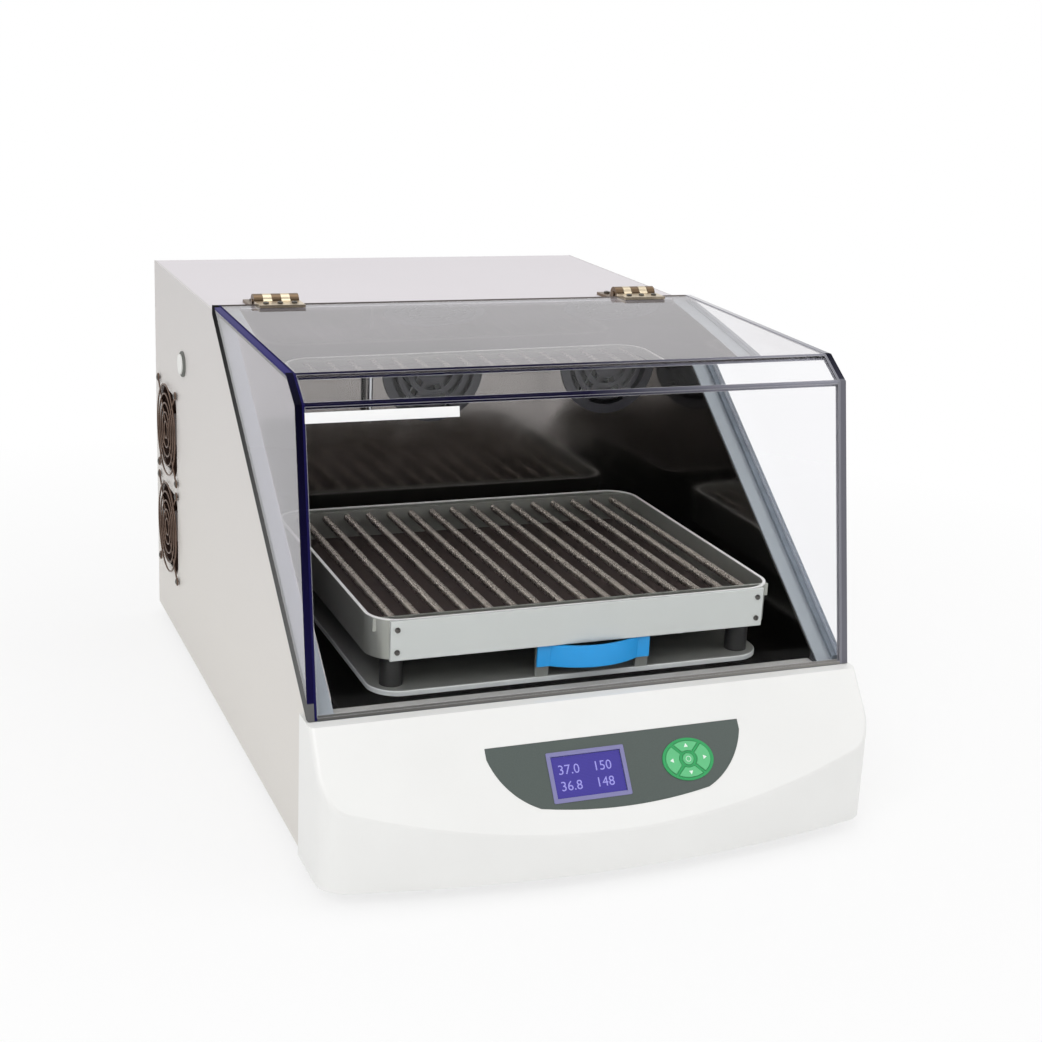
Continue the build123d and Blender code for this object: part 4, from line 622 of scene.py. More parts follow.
# ---- Workshop: the modelling operators, each on one selected piece ----
class Shop:
    """Modelling steps on one piece at a time, as a modeller does them by hand."""

    RING_STEPS = 56
    RING_SIDES = 8

    @staticmethod
    def only(*pieces: Piece) -> None:
        """Selects these pieces and nothing else; the last is active."""
        bpy.ops.object.select_all(action="DESELECT")
        for piece in pieces:
            piece.select_set(True)
            bpy.context.view_layer.objects.active = piece

    @staticmethod
    @contextmanager
    def editing() -> Iterator[None]:
        """Edit mode on the active piece, with all of its mesh selected."""
        bpy.ops.object.mode_set(mode="EDIT")
        bpy.ops.mesh.select_all(action="SELECT")
        yield
        bpy.ops.object.mode_set(mode="OBJECT")

    @staticmethod
    def settle(piece: Piece, place: Optional[Matrix] = None) -> None:
        """Puts a piece in its place, if one is given, and settles it into the mesh."""
        if place is not None:
            piece.matrix_world = place
        Shop.only(piece)
        bpy.ops.object.transform_apply(location=True, rotation=True, scale=True)

    @staticmethod
    def named(name: str, place: Optional[Matrix] = None) -> Piece:
        """Names the primitive just added and settles its place into its mesh."""
        piece = bpy.context.active_object
        piece.name = name
        Shop.settle(piece, place)
        return piece

    @staticmethod
    def block(name: str, low: Point, high: Point, round_off: float = 0.0) -> Piece:
        """A box between two corners with rounded edges.

        Args:
            name: The piece's name.
            low: Lowest corner in metres.
            high: Highest corner in metres.
            round_off: Radius of its edges.

        Returns:
            The piece.
        """
        middle = [(a + b) / 2 for a, b in zip(low, high)]
        size = [b - a for a, b in zip(low, high)]
        Shop.only()
        bpy.ops.mesh.primitive_cube_add(size=1.0, location=middle, scale=size)
        piece = Shop.named(name)
        if round_off:
            Shop.bevel(piece, round_off, radians(35), 3)
        return piece

    @staticmethod
    def round_bar(name: str, start: Vector, end: Vector, radius: float, sides: int) -> Piece:
        """A closed round bar between two points, its rims broken.

        Args:
            name: The piece's name.
            start: Middle of one end in metres.
            end: Middle of the other end.
            radius: Radius of the bar.
            sides: Number of facets round it.

        Returns:
            The piece.
        """
        way = end - start
        Shop.only()
        bpy.ops.mesh.primitive_cylinder_add(vertices=sides, radius=radius, depth=way.length)
        piece = Shop.named(name, Matrix.Translation((start + end) / 2) @ turned(way))
        Shop.bevel(piece, radius * 0.3, radians(60))
        return piece

    @staticmethod
    def ring(name: str, place: Matrix, radius: float, wire: float) -> Piece:
        """A closed ring of round wire, its section spun about the ring's middle.

        Args:
            name: The piece's name.
            place: The ring's middle, with its axis as Z.
            radius: Radius to the middle of the wire.
            wire: Diameter of the wire.

        Returns:
            The piece.
        """
        Shop.only()
        bpy.ops.mesh.primitive_circle_add(
            vertices=Shop.RING_SIDES, radius=wire / 2, location=(radius, 0, 0),
            rotation=(pi / 2, 0, 0))
        piece = Shop.named(name)
        with Shop.editing():
            bpy.ops.mesh.spin(
                steps=Shop.RING_STEPS, angle=2 * pi, center=(0, 0, 0), axis=(0, 0, 1))
            bpy.ops.mesh.select_all(action="SELECT")
            bpy.ops.mesh.remove_doubles(threshold=wire * 0.01)
        Shop.settle(piece, place)
        return piece

    @staticmethod
    def modify(piece: Piece, kind: str, **settings: object) -> None:
        """Adds a modifier, sets it and applies it."""
        Shop.only(piece)
        modifier = piece.modifiers.new(kind.title(), kind)
        for key, value in settings.items():
            setattr(modifier, key, value)
        bpy.ops.object.modifier_apply(modifier=modifier.name)

    @staticmethod
    def bevel(piece: Piece, width: float, sharper: float, segments: int = 1) -> None:
        """Rounds the edges of a piece that are sharper than an angle."""
        Shop.modify(piece, "BEVEL", width=width, segments=segments, limit_method="ANGLE",
                    angle_limit=sharper)

    @staticmethod
    def cut(piece: Piece, tool: Piece) -> None:
        """Cuts a tool's shape out of a piece and throws the tool away."""
        Shop.modify(piece, "BOOLEAN", operation="DIFFERENCE", object=tool, solver="EXACT")
        bpy.data.objects.remove(tool)

    @staticmethod
    def join(name: str, pieces: Sequence[Piece]) -> Piece:
        """Joins pieces into one mesh under one name."""
        Shop.only(*pieces)
        bpy.ops.object.join()
        piece = bpy.context.active_object
        piece.name = name
        return piece

    @staticmethod
    def copies(name: str, pattern: Piece, places: Sequence[Matrix]) -> Piece:
        """Copies of one pattern at several places, joined; the pattern is used up."""
        made = []
        for place in places:
            Shop.only(pattern)
            bpy.ops.object.duplicate(linked=False)
            piece = bpy.context.active_object
            Shop.settle(piece, place)
            made.append(piece)
        bpy.data.objects.remove(pattern)
        return Shop.join(name, made)

    @staticmethod
    def complete(piece: Piece, material: Material, body: str, slot: str,
                 smooth: float = 30.0) -> None:
        """Shades, dresses and mounts a finished piece.

        Args:
            piece: The modelled piece.
            material: Its only material.
            body: The CAD body that it rides on.
            slot: The record's material slot; not used.
            smooth: Largest angle in degrees that is shaded smooth.
        """
        Shop.only(piece)
        with Shop.editing():
            bpy.ops.mesh.normals_make_consistent(inside=False)
        bpy.ops.object.shade_smooth_by_angle(angle=radians(smooth))
        piece.data.materials.clear()
        piece.data.materials.append(material)
        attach(piece, body)
        log.info("%s on %s", piece.name, body)


# ---- Finishes of this instrument ----
FINISHES: Dict[Finish, Tuple[str, ...]] = {
    SeatedPanel("side_coat", "D2CECD"): ("left_side_panel", "right_side_panel"),
    PowderCoat("panel_coat", "D6D2D0"): ("rear_panel", "base_pan"),
    PowderCoat("cover_coat", "D4CFD3"): ("top_cover",),
    Moulded("fascia_plastic", "F2F2F0", roughness=0.36, coat=0.15): ("front_fascia",),
    Metal("chamber_steel", "8A8683", roughness=0.13, grain=Grain.POLISHED, stain=0.08):
        ("chamber_liner",),
    PowderCoat("lip_paint", "A2A29E", roughness=0.4): ("lip_trim",),
    Rubber("gasket_rubber", "6A727A"): ("hood_seals",),
    Rubber("foot_rubber", "1C1C1C"): ("feet",),
    Foam("insulation_foam", "5C5E60"): ("insulation",),
    Metal("hinge_brown", "75624E", roughness=0.34, stain=0.25): ("hinge_fixed_leaves",),
    # painted highlight: the moving leaves get a pale cream copy of the brown hinge metal
    Metal("hinge_painted_highlight", "CDBFA6", roughness=0.3, stain=0.15): ("hinge_moving_leaves",),
    Film("overlay_film", "4F5955"): ("control_overlay",),
    Moulded("bezel_plastic", "8482B0", roughness=0.35): ("lcd_bezel",),
    Glow("display_blue", "2C2478", "3C309C", 0.5): ("lcd_module",),
    Glow("display_digit", "8A86CC", "8A84CC", 0.55): (),
    Board("board_green", "1F5A30"): ("control_board",),
    Moulded("keypad_green", "2FA35E"): ("keypad_base",),
    Moulded("key_green", "63C485", roughness=0.42, coat=0.1):
        ("key_up", "key_down", "key_left", "key_right", "key_centre"),
    Moulded("key_mark", "EAF6EC", roughness=0.5): (),
    Metal("probe_steel", "C2C4C6", roughness=0.2, grain=Grain.ALONG_Z): ("temperature_probe",),
    Moulded("fan_black", "341E13", roughness=0.5):
        ("cooling_fan_frames", "upper_fan_wheel", "lower_fan_wheel"),
    Metal("guard_dark", "6E5A4E", roughness=0.4, grain=Grain.TURNED, metallic=0.7):
        ("cooling_fan_guards",),
    Moulded("port_white", "EFEFEC"): ("access_port_plug",),
    Rubber("port_grey", "6A6C68"): ("access_port_bush",),
    Moulded("inlet_plastic", "17171A", roughness=0.45): ("power_inlet",),
    Moulded("rocker_plastic", "121214", roughness=0.25, coat=0.4): ("power_rocker",),
    Metal("impeller_metal", "B4B6B8", roughness=0.32, grain=Grain.TURNED):
        ("left_circulation_wheel", "right_circulation_wheel"),
    PowderCoat("motor_coat", "3C4044", roughness=0.5): ("motor", "circulation_fan_motors"),
    Metal("heater_steel", "5E5852", roughness=0.45, stain=0.3): ("heater",),
    CastMetal("cast_frame", "9A9DA0", roughness=0.48): ("drive_frame", "deck_hubs"),
    Metal("bearing_steel", "B8BABC", roughness=0.18, grain=Grain.TURNED): ("drive_bearings",),
    Metal("shaft_steel", "A8AAAD", roughness=0.22, grain=Grain.TURNED):
        ("drive_crank", "left_idler_crank", "right_idler_crank"),
    Metal("pulley_metal", "A6A8AA", roughness=0.3, grain=Grain.TURNED):
        ("drive_pulley", "motor_pulley"),
    CastMetal("counter_iron", "3E3F42", metallic=0.85, roughness=0.6): ("counterweight",),
    Rubber("belt_rubber", "1A1A1B", roughness=0.6): ("drive_belt",),
    # painted highlight along the deck plate's front edge
    Metal("deck_metal", "8E908A", roughness=0.4, stain=0.15, metallic=0.45,
          highlight_band=HighlightBand(0.1500, 0.1563, "C8CCCA")):
        ("deck_plate",),
    PowderCoat("post_coat", "2C2C2B", roughness=0.4): ("rack_posts",),
    # painted highlight along the rack frame's top edge
    Metal("rack_metal", "A4A69E", roughness=0.34, stain=0.15, metallic=0.7,
          highlight_band=HighlightBand(0.2266, 0.2290, "E0E0DC")):
        ("rack_frame",),
    # painted shade: the mat under the springs takes the near-black brown of the shade between them
    Rubber("rack_mat", "2C221E", roughness=0.6): ("rack_tray",),
    Metal("spring_steel", "968F86", grain=Grain.TURNED, metallic=0.85): ("rack_springs",),
    Metal("bar_metal", "C4C8C4", roughness=0.38, stain=0.06, metallic=0.4): ("front_bar",),
    Metal("screw_steel", "6E6C68", roughness=0.34, grain=Grain.TURNED):
        ("rack_screws", "housing_screws"),
    Moulded("handle_blue", "1C93D6"): ("pull_handle",),
    # a plain white strip on the hood's front sheet
    Moulded("white_strip_plastic", "FBFBFB", roughness=0.45): (),
    PowderCoat("guard_paint", "3A3A3E", roughness=0.4): ("circulation_fan_guards",),
}


class Wardrobe:
    """The instrument's materials, each built once and given to the CAD nodes that wear it."""

    def __init__(self, worn_by: Dict[Finish, Tuple[str, ...]]) -> None:
        """Builds every material and dresses its nodes."""
        self.materials = {finish.name: finish.material() for finish in worn_by}
        for finish, nodes in worn_by.items():
            for node in nodes:
                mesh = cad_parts[node].data
                mesh.materials.clear()
                mesh.materials.append(self[finish.name])

    def __getitem__(self, name: str) -> Material:
        """A material by its finish's name."""
        return self.materials[name]


# ---- Sub-assemblies ----
@dataclass
class Hood:
    """Clear hood: dark edges on its sheets, their colours partly painted shade, and a white strip
    on its front.
    """

    half_width: float = 0.273
    sheet: float = 0.006
    outline: Tuple[Pair, ...] = (
        (0.0694, 0.4506), (-0.238, 0.4455), (-0.2692, 0.425), (-0.3222, 0.153))
    seat: Tuple[Pair, Pair] = ((-0.3158, 0.1530), (0.0694, 0.4414))
    cut_reach: float = 0.0022
    fold_reach: float = 0.0021
    rear_reach: float = 0.0085
    foot_reach: float = 0.0026
    # width of the painted shadow over the left seat
    left_seat_shadow_reach: float = 0.0145
    right_seat_reach: float = 0.0030
    # edge colours: partly the sheets' own dark edges, partly painted shade, darkest on the left
    # and lightest on the right
    fold_codes: Codes = ("0D0B2A", "8A8A94")
    fold_fade: Pair = (0.0, 0.22)
    rear_codes: Codes = ("4E4846", "6C6664")
    foot_codes: Codes = ("5E5E5C", "8C8A86")
    left_cuts: Tuple[Codes, ...] = (
        ("54527C", "38346E"), ("100E28", "0A0918"), ("0A0918", "17133E"))
    # painted shadow: the black line over the left seat paints the shade of the gap between hood
    # and housing
    left_seat_shadow: Codes = ("0A0A0C", "6A6A6A")
    right_cuts: Tuple[Codes, ...] = (
        ("DADADC", "A8A8AE"), ("20202A", "3A3A44"), ("707078", "707078"))
    right_seat: Codes = ("A8ACB2", "9AA2AC")
    seat_fade: Pair = (0.06, -0.30)
    strip_from: float = -0.265
    strip_to: float = -0.124
    strip_top: float = 0.4180
    strip_height: float = 0.0095
    strip_thickness: float = 0.0004

    @staticmethod
    def along(start: Pair, end: Pair) -> Pair:
        """Unit normal of the line between two points of the side view."""
        run = hypot(end[0] - start[0], end[1] - start[1])
        return (-(end[1] - start[1]) / run, (end[0] - start[0]) / run)

    def side_lines(self, cuts: Sequence[Codes], seat: Codes, reach: float) -> Tuple[EdgeLine, ...]:
        """Dark cut edges of a side sheet.

        Args:
            cuts: Colours of the top, chamfer and front edges, upper end first.
            seat: Colours of the edge over the seat, rear end first.
            reach: Width of the edge over the seat.

        Returns:
            The edges, with the seat's last.
        """
        lines = []
        for upper, lower, codes in zip(self.outline, self.outline[1:], cuts):
            fade = (upper[1], lower[1])
            lines.append(EdgeLine(self.along(upper, lower), upper, self.cut_reach, codes, 2, fade))
        over_seat = self.along(*self.seat)
        lines.append(EdgeLine(over_seat, self.seat[0], reach, seat, 1, self.seat_fade))
        return tuple(lines)

    def canopy_lines(self) -> Tuple[EdgeLine, ...]:
        """Dark folds and ends of the canopy."""
        lines = []
        for before, fold, after in zip(self.outline, self.outline[1:], self.outline[2:]):
            middle = Vector(fold)
            way = (Vector(before) - middle).normalized() - (Vector(after) - middle).normalized()
            across = (way.normalized().x, way.normalized().y)
            lines.append(
                EdgeLine(across, fold, self.fold_reach, self.fold_codes, 0, self.fold_fade))
        lines.append(EdgeLine((1.0, 0.0), self.outline[0], self.rear_reach, self.rear_codes))
        lines.append(EdgeLine((0.0, 1.0), self.outline[-1], self.foot_reach, self.foot_codes))
        return tuple(lines)

    def finishes(self) -> Dict[Finish, Tuple[str, ...]]:
        """Acrylics of the side sheets and the canopy, with the nodes that wear them."""
        left = self.side_lines(self.left_cuts, self.left_seat_shadow, self.left_seat_shadow_reach)
        right = self.side_lines(self.right_cuts, self.right_seat, self.right_seat_reach)
        return {
            # painted reflection: the left sheet is tinted greyish lavender, the right one is left
            # clear
            Acrylic("hood_left_acrylic", "D6D2DC", left, index=1.47): ("hood_left_side",),
            Acrylic("hood_right_acrylic", "FEFEFF", right, index=1.14): ("hood_right_side",),
            Acrylic("hood_canopy_acrylic", "FCFBFD", self.canopy_lines(),
                    self.half_width - self.sheet, front_top=self.outline[1][1] - 0.001, reflection_veil=0.2):
                ("hood_canopy",),
        }

    def build(self, wardrobe: Wardrobe) -> None:
        """Adds the white strip on the front sheet."""
        (y, z), _ = front = self.outline[2:]
        out_y, out_z = self.along(*front)
        start = (z - self.strip_top) / out_y
        strip = Shop.block(
            "hood_white_strip", (self.strip_from, -start - self.strip_height, 0.0),
            (self.strip_to, -start, self.strip_thickness), self.strip_thickness / 4)
        Shop.settle(strip, Matrix((
            (1, 0, 0, 0), (0, -out_z, -out_y, y), (0, out_y, -out_z, z), (0, 0, 0, 1))))
        Shop.complete(strip, wardrobe["white_strip_plastic"], "hood", "cover_paint")


@dataclass
class SpringRack:
    """Close-wound springs of the flask rack, in place of the plain coils."""

    count: int = 16
    pitch: float = 0.024
    mean_radius: float = 0.0030
    wire: float = 0.0019
    wire_sides: int = 5
    lead: float = 0.00245
    turns: int = 131
    turn_steps: int = 8
    start_y: float = -0.2715
    height: float = 0.2204

    def build(self, wardrobe: Wardrobe) -> None:
        """Winds one spring and sets the others beside it."""
        Shop.only()
        bpy.ops.mesh.primitive_circle_add(
            vertices=self.wire_sides, radius=self.wire / 2, location=(self.mean_radius, 0, 0))
        coil = Shop.named("rack_spring_coils")
        Shop.modify(coil, "SCREW", axis="Y", screw_offset=self.lead, iterations=self.turns,
                    steps=self.turn_steps, render_steps=self.turn_steps, use_normal_calculate=True)
        with Shop.editing():
            bpy.ops.mesh.fill_holes(sides=self.wire_sides + 1)
        Shop.modify(coil, "ARRAY", count=self.count, use_relative_offset=False,
                    use_constant_offset=True, constant_offset_displace=(self.pitch, 0, 0))
        first_x = -(self.count - 1) / 2 * self.pitch
        Shop.settle(coil, Matrix.Translation((first_x, self.start_y, self.height)))
        Shop.complete(coil, wardrobe["spring_steel"], "platform", "spring_steel", smooth=80.0)
        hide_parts("rack_springs")


@dataclass(frozen=True)
class Seats:
    """Screw seats at every crossing of three lists of places, all facing one way."""

    xs: Tuple[float, ...]
    ys: Tuple[float, ...]
    zs: Tuple[float, ...]
    way: Point

    def places(self) -> List[Matrix]:
        """Place of each seat, its Z outwards."""
        lift = turned(self.way)
        return [Matrix.Translation((x, y, z)) @ lift
                for x in self.xs for y in self.ys for z in self.zs]


@dataclass
class Screws:
    """Cross-recessed pan heads, in place of the plain ones, and those that the CAD leaves out."""

    head_rise: float = 0.45
    head_sides: int = 20
    rim: float = 0.38
    crown: float = 0.35
    slot_reach: float = 0.62
    slot_width: float = 0.28
    slot_floor: float = 0.55
    first_turn: float = 17.0
    next_turn: float = 41.0
    bar_radius: float = 0.0026
    bar: Seats = Seats((-0.183, 0.183), (-0.291,), (0.197604, 0.218996), (0, -1, 0))
    housing_radius: float = 0.0034
    hinges: Seats = Seats((-0.220, -0.190, 0.190, 0.220), (0.0985, 0.1155), (0.4463,), (0, 0, 1))
    lower_guard: Seats = Seats((-0.2724,), (0.2805, 0.3855), (0.0815, 0.1865), (-1, 0, 0))
    upper_guard: Seats = Seats((-0.2724,), (0.2805, 0.3855), (0.2020, 0.3070), (-1, 0, 0))
    leaf_radius: float = 0.0030
    leaves: Seats = Seats(
        (-0.220, -0.205, -0.190, 0.190, 0.205, 0.220), (0.0560,), (0.4536,), (0, 0, 1))
    rear_radius: float = 0.0032
    rear: Seats = Seats((-0.25, -0.085, 0.085, 0.25), (0.4127,), (0.036, 0.428), (0, 1, 0))

    def head(self, radius: float) -> Piece:
        """One screw head standing on the plane z = 0 with its recess upwards."""
        rise = radius * self.head_rise
        Shop.only()
        bpy.ops.mesh.primitive_cylinder_add(
            vertices=self.head_sides, radius=radius, depth=rise, location=(0, 0, rise / 2))
        head = Shop.named("screw_head")
        bpy.ops.object.mode_set(mode="EDIT")
        bpy.ops.mesh.select_all(action="DESELECT")
        bpy.ops.object.mode_set(mode="OBJECT")
        for face in head.data.polygons:
            face.select = face.normal.z > 0.9
        bpy.ops.object.mode_set(mode="EDIT")
        bpy.ops.mesh.inset(thickness=radius * self.rim)
        bpy.ops.transform.translate(value=(0, 0, rise * self.crown))
        bpy.ops.object.mode_set(mode="OBJECT")
        reach, half = radius * self.slot_reach, radius * self.slot_width / 2
        floor, top = rise * self.slot_floor, rise * 2
        for x, y in ((reach, half), (half, reach)):
            Shop.cut(head, Shop.block("recess", (-x, -y, floor), (x, y, top)))
        return head

    def place(self, name: str, radius: float, grids: Sequence[Seats], wardrobe: Wardrobe,
              body: str, replaced: Optional[str] = None) -> None:
        """Sets heads on their seats, each driven home at its own angle.

        Args:
            name: Name of the joined piece.
            radius: Radius of the heads in metres.
            grids: Where the heads sit.
            wardrobe: The materials.
            body: The CAD body that they ride on.
            replaced: CAD node that they stand for.
        """
        places = []
        for number, seat in enumerate(seat for grid in grids for seat in grid.places()):
            angle = radians(self.first_turn + self.next_turn * number)
            places.append(seat @ Matrix.Rotation(angle, 4, "Z"))
        piece = Shop.copies(name, self.head(radius), places)
        Shop.complete(piece, wardrobe["screw_steel"], body, "screw_steel")
        if replaced:
            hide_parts(replaced)

    def build(self, wardrobe: Wardrobe) -> None:
        """Sets the screws of the rack's bar, the hinges, the fan guards and the rear panel."""
        self.place("rack_bar_screws", self.bar_radius, (self.bar,), wardrobe,
                   "platform", "rack_screws")
        on_housing = (self.hinges, self.lower_guard, self.upper_guard)
        self.place("hinge_and_guard_screws", self.housing_radius, on_housing, wardrobe,
                   "housing", "housing_screws")
        self.place("moving_leaf_screws", self.leaf_radius, (self.leaves,), wardrobe, "hood")
        self.place("rear_panel_screws", self.rear_radius, (self.rear,), wardrobe, "housing")


@dataclass
class FanGuards:
    """Round-wire guards of the two ventilation fans."""

    plane_x: float = -0.2734
    fan_y: float = 0.333
    heights: Pair = (0.134, 0.2545)
    radii: Tuple[float, ...] = (0.010, 0.021, 0.032, 0.043, 0.054)
    lug: float = 0.0525
    eye: float = 0.0042
    wire: float = 0.0020
    spoke_sides: int = 8

    def ring(self, name: str, middle: Vector, radius: float) -> Piece:
        """A wire ring that lies in the guard's plane."""
        return Shop.ring(name, Matrix.Translation(middle) @ turned((1, 0, 0)), radius, self.wire)

    def guard(self) -> Piece:
        """One guard about the side view's origin: rings, and over them spokes that end in eyes."""
        middle = Vector((self.plane_x, 0, 0))
        parts = [self.ring("ring", middle, radius) for radius in self.radii]
        hub = middle + Vector((self.wire / 2, 0, 0))
        for side_y in (-1, 1):
            for side_z in (-1, 1):
                corner = Vector((0, side_y * self.lug, side_z * self.lug))
                way = corner.normalized()
                inner, outer = hub + way * self.radii[0], hub + corner - way * self.eye
                parts.append(
                    Shop.round_bar("spoke", inner, outer, self.wire / 2, self.spoke_sides))
                parts.append(self.ring("eye", hub + corner, self.eye))
        return Shop.join("fan_guard", parts)

    def build(self, wardrobe: Wardrobe) -> None:
        """Bends one guard and sets it over both fans."""
        places = [Matrix.Translation((0, self.fan_y, z)) for z in self.heights]
        guards = Shop.copies("fan_guard_wires", self.guard(), places)
        Shop.complete(guards, wardrobe["guard_dark"], "housing", "guard_wire", smooth=60.0)
        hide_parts("cooling_fan_guards")


@dataclass
class ControlPanel:
    """Digits on the display and marks on the keys, laid out on the fascia's incline."""

    top_y: float = -0.3352
    top_z: float = 0.1526
    run: float = 0.6
    rise: float = 0.8
    display: Pair = (-0.0255, 0.070)
    keypad: Pair = (0.075, 0.068)
    rows: Tuple[Codes, ...] = (("37.0", "150"), ("36.8", "148"))
    row_ys: Pair = (0.0025, -0.0125)
    column_xs: Pair = (-0.0290, 0.0055)
    digit_size: float = 0.0125
    digit_depth: float = 0.00006
    digit_face: float = -0.00058
    key_face: float = 0.00162
    mark_radius: float = 0.0024
    mark_depth: float = 0.00012
    mark_corner: float = 0.0003
    mark_reach: Pair = (0.0165, 0.0125)
    dot_wire: float = 0.0005

    def plane(self, x: float, down: float, out: float) -> Matrix:
        """Place on the incline, its local Y up the slope and Z outwards."""
        y = self.top_y - down * self.run - out * self.rise
        z = self.top_z - down * self.rise + out * self.run
        return Matrix((
            (1, 0, 0, x), (0, self.run, -self.rise, y), (0, self.rise, self.run, z), (0, 0, 0, 1)))

    def word(self, text: str, x: float, y: float) -> Piece:
        """A number on the display, so far from the display's middle."""
        Shop.only()
        bpy.ops.object.text_add()
        curve = bpy.context.active_object.data
        curve.body = text
        curve.size = self.digit_size
        curve.resolution_u = 3
        curve.extrude = self.digit_depth
        bpy.ops.object.convert(target="MESH")
        word = bpy.context.active_object
        middle = self.plane(*self.display, self.digit_face)
        Shop.settle(word, middle @ Matrix.Translation((x, y, 0)))
        return word

    def mark(self, name: str, turn: float, reach: float) -> Piece:
        """An arrowhead on one ring key, so far from the middle."""
        Shop.only()
        bpy.ops.mesh.primitive_cylinder_add(
            vertices=3, radius=self.mark_radius, depth=self.mark_depth)
        place = (self.plane(*self.keypad, self.key_face) @ Matrix.Rotation(turn, 4, "Z")
                 @ Matrix.Translation((reach, 0, 0)) @ Matrix.Rotation(-pi / 2, 4, "Z"))
        arrow = Shop.named(name, place)
        Shop.bevel(arrow, self.mark_corner, radians(100), 2)
        return arrow

    def build(self, wardrobe: Wardrobe) -> None:
        """Lights the digits and marks the keys."""
        words = [self.word(text, x, y)
                 for row, y in zip(self.rows, self.row_ys) for text, x in zip(row, self.column_xs)]
        digits = Shop.join("display_digits", words)
        Shop.complete(digits, wardrobe["display_digit"], "housing", "display_glass")
        for index, way in enumerate(("right", "up", "left", "down")):
            arrow = self.mark(f"{way}_key_arrow", index * pi / 2, self.mark_reach[index % 2])
            Shop.complete(arrow, wardrobe["key_mark"], f"{way}_button", "key_green")
        middle = self.plane(*self.keypad, self.key_face) @ turned((0, 0, 1))
        dot = Shop.ring("centre_key_ring", middle, self.mark_radius, self.dot_wire)
        Shop.complete(dot, wardrobe["key_mark"], "centre_button", "key_green")


# ---- Studio ----
@dataclass(frozen=True)
class Lamp:
    """A square soft lamp that faces the instrument."""

    name: str
    location: Point
    size: float
    power: float
    aim: Point = (0.0, 0.0, 0.2)

    def build(self) -> None:
        """Hangs the lamp."""
        light = bpy.data.lights.new(self.name, "AREA")
        light.size = self.size
        light.energy = self.power
        lamp = bpy.data.objects.new(self.name, light)
        way = Vector(self.aim) - Vector(self.location)
        lamp.matrix_world = Matrix.Translation(self.location) @ turned(way, "-Z")
        bpy.context.scene.collection.objects.link(lamp)


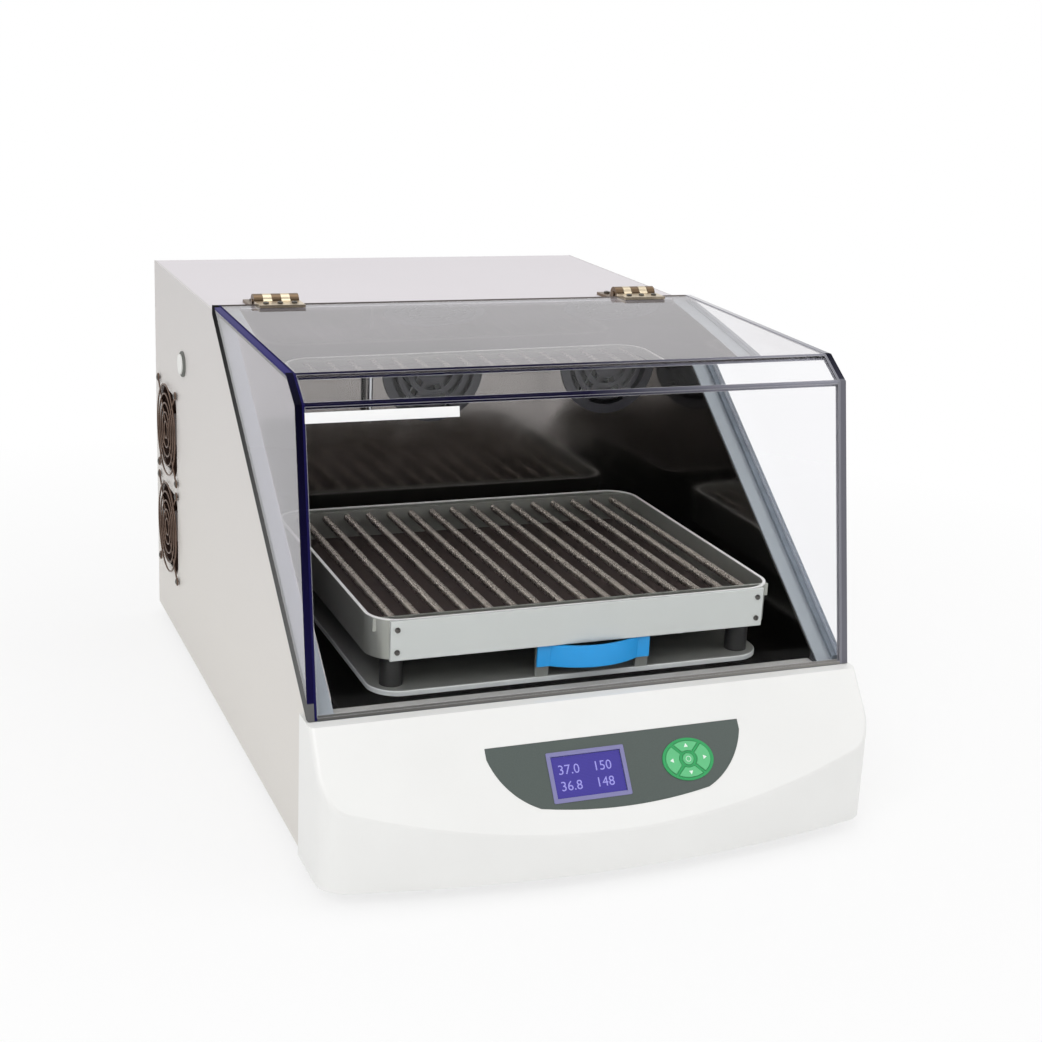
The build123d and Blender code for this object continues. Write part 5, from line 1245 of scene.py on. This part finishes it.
@dataclass
class Studio:
    """Pale floor, soft lamps and the camera at the photograph's place."""

    location: Point = (-0.645036, -1.704485, 0.776041)
    yaw: float = 0.387412
    pitch: float = 0.294160
    roll: float = -0.046822
    lens: float = 60.90
    sky: float = 0.62
    front: float = 0.10
    behind_gain: float = 1.4
    behind_least: float = 0.6
    above_gain: float = 2.2
    above_least: float = -0.7
    lit_loss: float = 0.2
    floor_size: float = 14.0
    floor_drop: float = 0.0004
    floor_code: Colour = (0.9, 0.9, 0.9, 1.0)
    near_radius: float = 0.6
    near_fade: float = 1.4
    near_white: float = 0.74
    lamps: Tuple[Lamp, ...] = (
        Lamp("key_lamp", (-1.6, -1.8, 2.2), 1.6, 26.0),
        Lamp("fill_lamp", (2.0, -1.2, 1.6), 1.6, 9.0),
        Lamp("top_lamp", (0.2, 0.4, 2.6), 1.8, 14.0),
    )

    def camera(self) -> None:
        """Sets the camera up."""
        across = cos(self.pitch)
        ahead = Vector((sin(self.yaw) * across, cos(self.yaw) * across, -sin(self.pitch)))
        level = Vector((cos(self.yaw), -sin(self.yaw), 0))
        below = ahead.cross(level)
        right = level * cos(self.roll) + below * sin(self.roll)
        down = below * cos(self.roll) - level * sin(self.roll)
        lens = bpy.data.cameras.new("camera")
        lens.lens = self.lens
        lens.sensor_width = 36.0
        lens.clip_start = 0.01
        lens.clip_end = 50.0
        eye = bpy.data.objects.new("camera", lens)
        turn = Matrix((right, -down, -ahead)).transposed().to_4x4()
        eye.matrix_world = Matrix.Translation(self.location) @ turn
        bpy.context.scene.collection.objects.link(eye)
        bpy.context.scene.camera = eye

    @staticmethod
    def path(graph: Graph) -> Dict[str, Wire]:
        """What kind of ray meets the surface, and how often it has bounced, by name."""
        return {wire.socket.name: wire for wire in graph.outputs("LightPath")}

    def world(self) -> None:
        """White where it is seen, softer where it lights, dark to mirrors in front and low."""
        sky = bpy.data.worlds.new("sky")
        sky.use_nodes = True
        bpy.context.scene.world = sky
        graph = Graph(sky.node_tree)
        path = self.path(graph)
        mirrored = path["Glossy Depth"].math("MINIMUM", 1.0)
        lit = path["Diffuse Depth"].math("MINIMUM", 1.0)
        seen = path["Is Camera Ray"].math("MAXIMUM", path["Is Transmission Ray"])
        seen = seen * (1.0 - mirrored) * (1.0 - lit * self.lit_loss)
        _, depth, height = graph.axes()
        behind = (depth * self.behind_gain + self.behind_least).at_least(self.front)
        above = (height * self.above_gain + self.above_least).at_least()
        around = behind.math("MAXIMUM", above)
        strength = seen + (1.0 - seen) * (mirrored * around + (1.0 - mirrored) * self.sky)
        sockets = {"Color": WHITE, "Strength": strength}
        graph.finish(graph.node("Background", sockets=sockets), "OutputWorld")

    def floor(self) -> None:
        """A wide floor, white where it is seen, that keeps a soft shadow near the instrument."""
        Shop.only()
        bpy.ops.mesh.primitive_plane_add(size=self.floor_size, location=(0, 0, -self.floor_drop))
        ground = Shop.named("floor")
        material, graph = Graph.of_material("floor_pale")
        matt = graph.node("BsdfDiffuse", sockets={"Color": self.floor_code})
        white = graph.node("Emission", sockets={"Color": WHITE, "Strength": 1.0})
        reach = graph.node(
            "VectorMath", {"operation": "LENGTH"}, {0: graph.place()}, output=1)
        far = ((reach - self.near_radius) * self.near_fade).at_least()
        path = self.path(graph)
        seen = path["Is Camera Ray"].math("MAXIMUM", path["Is Glossy Ray"])
        seen = seen.math("MAXIMUM", path["Is Transmission Ray"])
        share = seen * (far * (1.0 - self.near_white) + self.near_white)
        graph.finish(graph.cover(share, matt, white))
        ground.data.materials.append(material)
        ground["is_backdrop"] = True

    def build(self) -> None:
        """Sets the whole studio up."""
        self.camera()
        self.world()
        self.floor()
        for lamp in self.lamps:
            lamp.build()
        bpy.context.scene.view_settings.view_transform = "Standard"


def main() -> None:
    """Builds the studio, dresses the CAD nodes and adds the modelled pieces."""
    logging.basicConfig(level=logging.INFO, format="%(name)s: %(message)s")
    Studio().build()
    hood = Hood()
    wardrobe = Wardrobe({**FINISHES, **hood.finishes()})
    for assembly in (hood, SpringRack(), Screws(), FanGuards(), ControlPanel()):
        assembly.build(wardrobe)
    Shop.only()
    boxes = {name: [list(corner) for corner in box]
             for name, box in (("cad", CAD_BOX), ("visual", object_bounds()))}


if __name__ == "__main__":
    main()
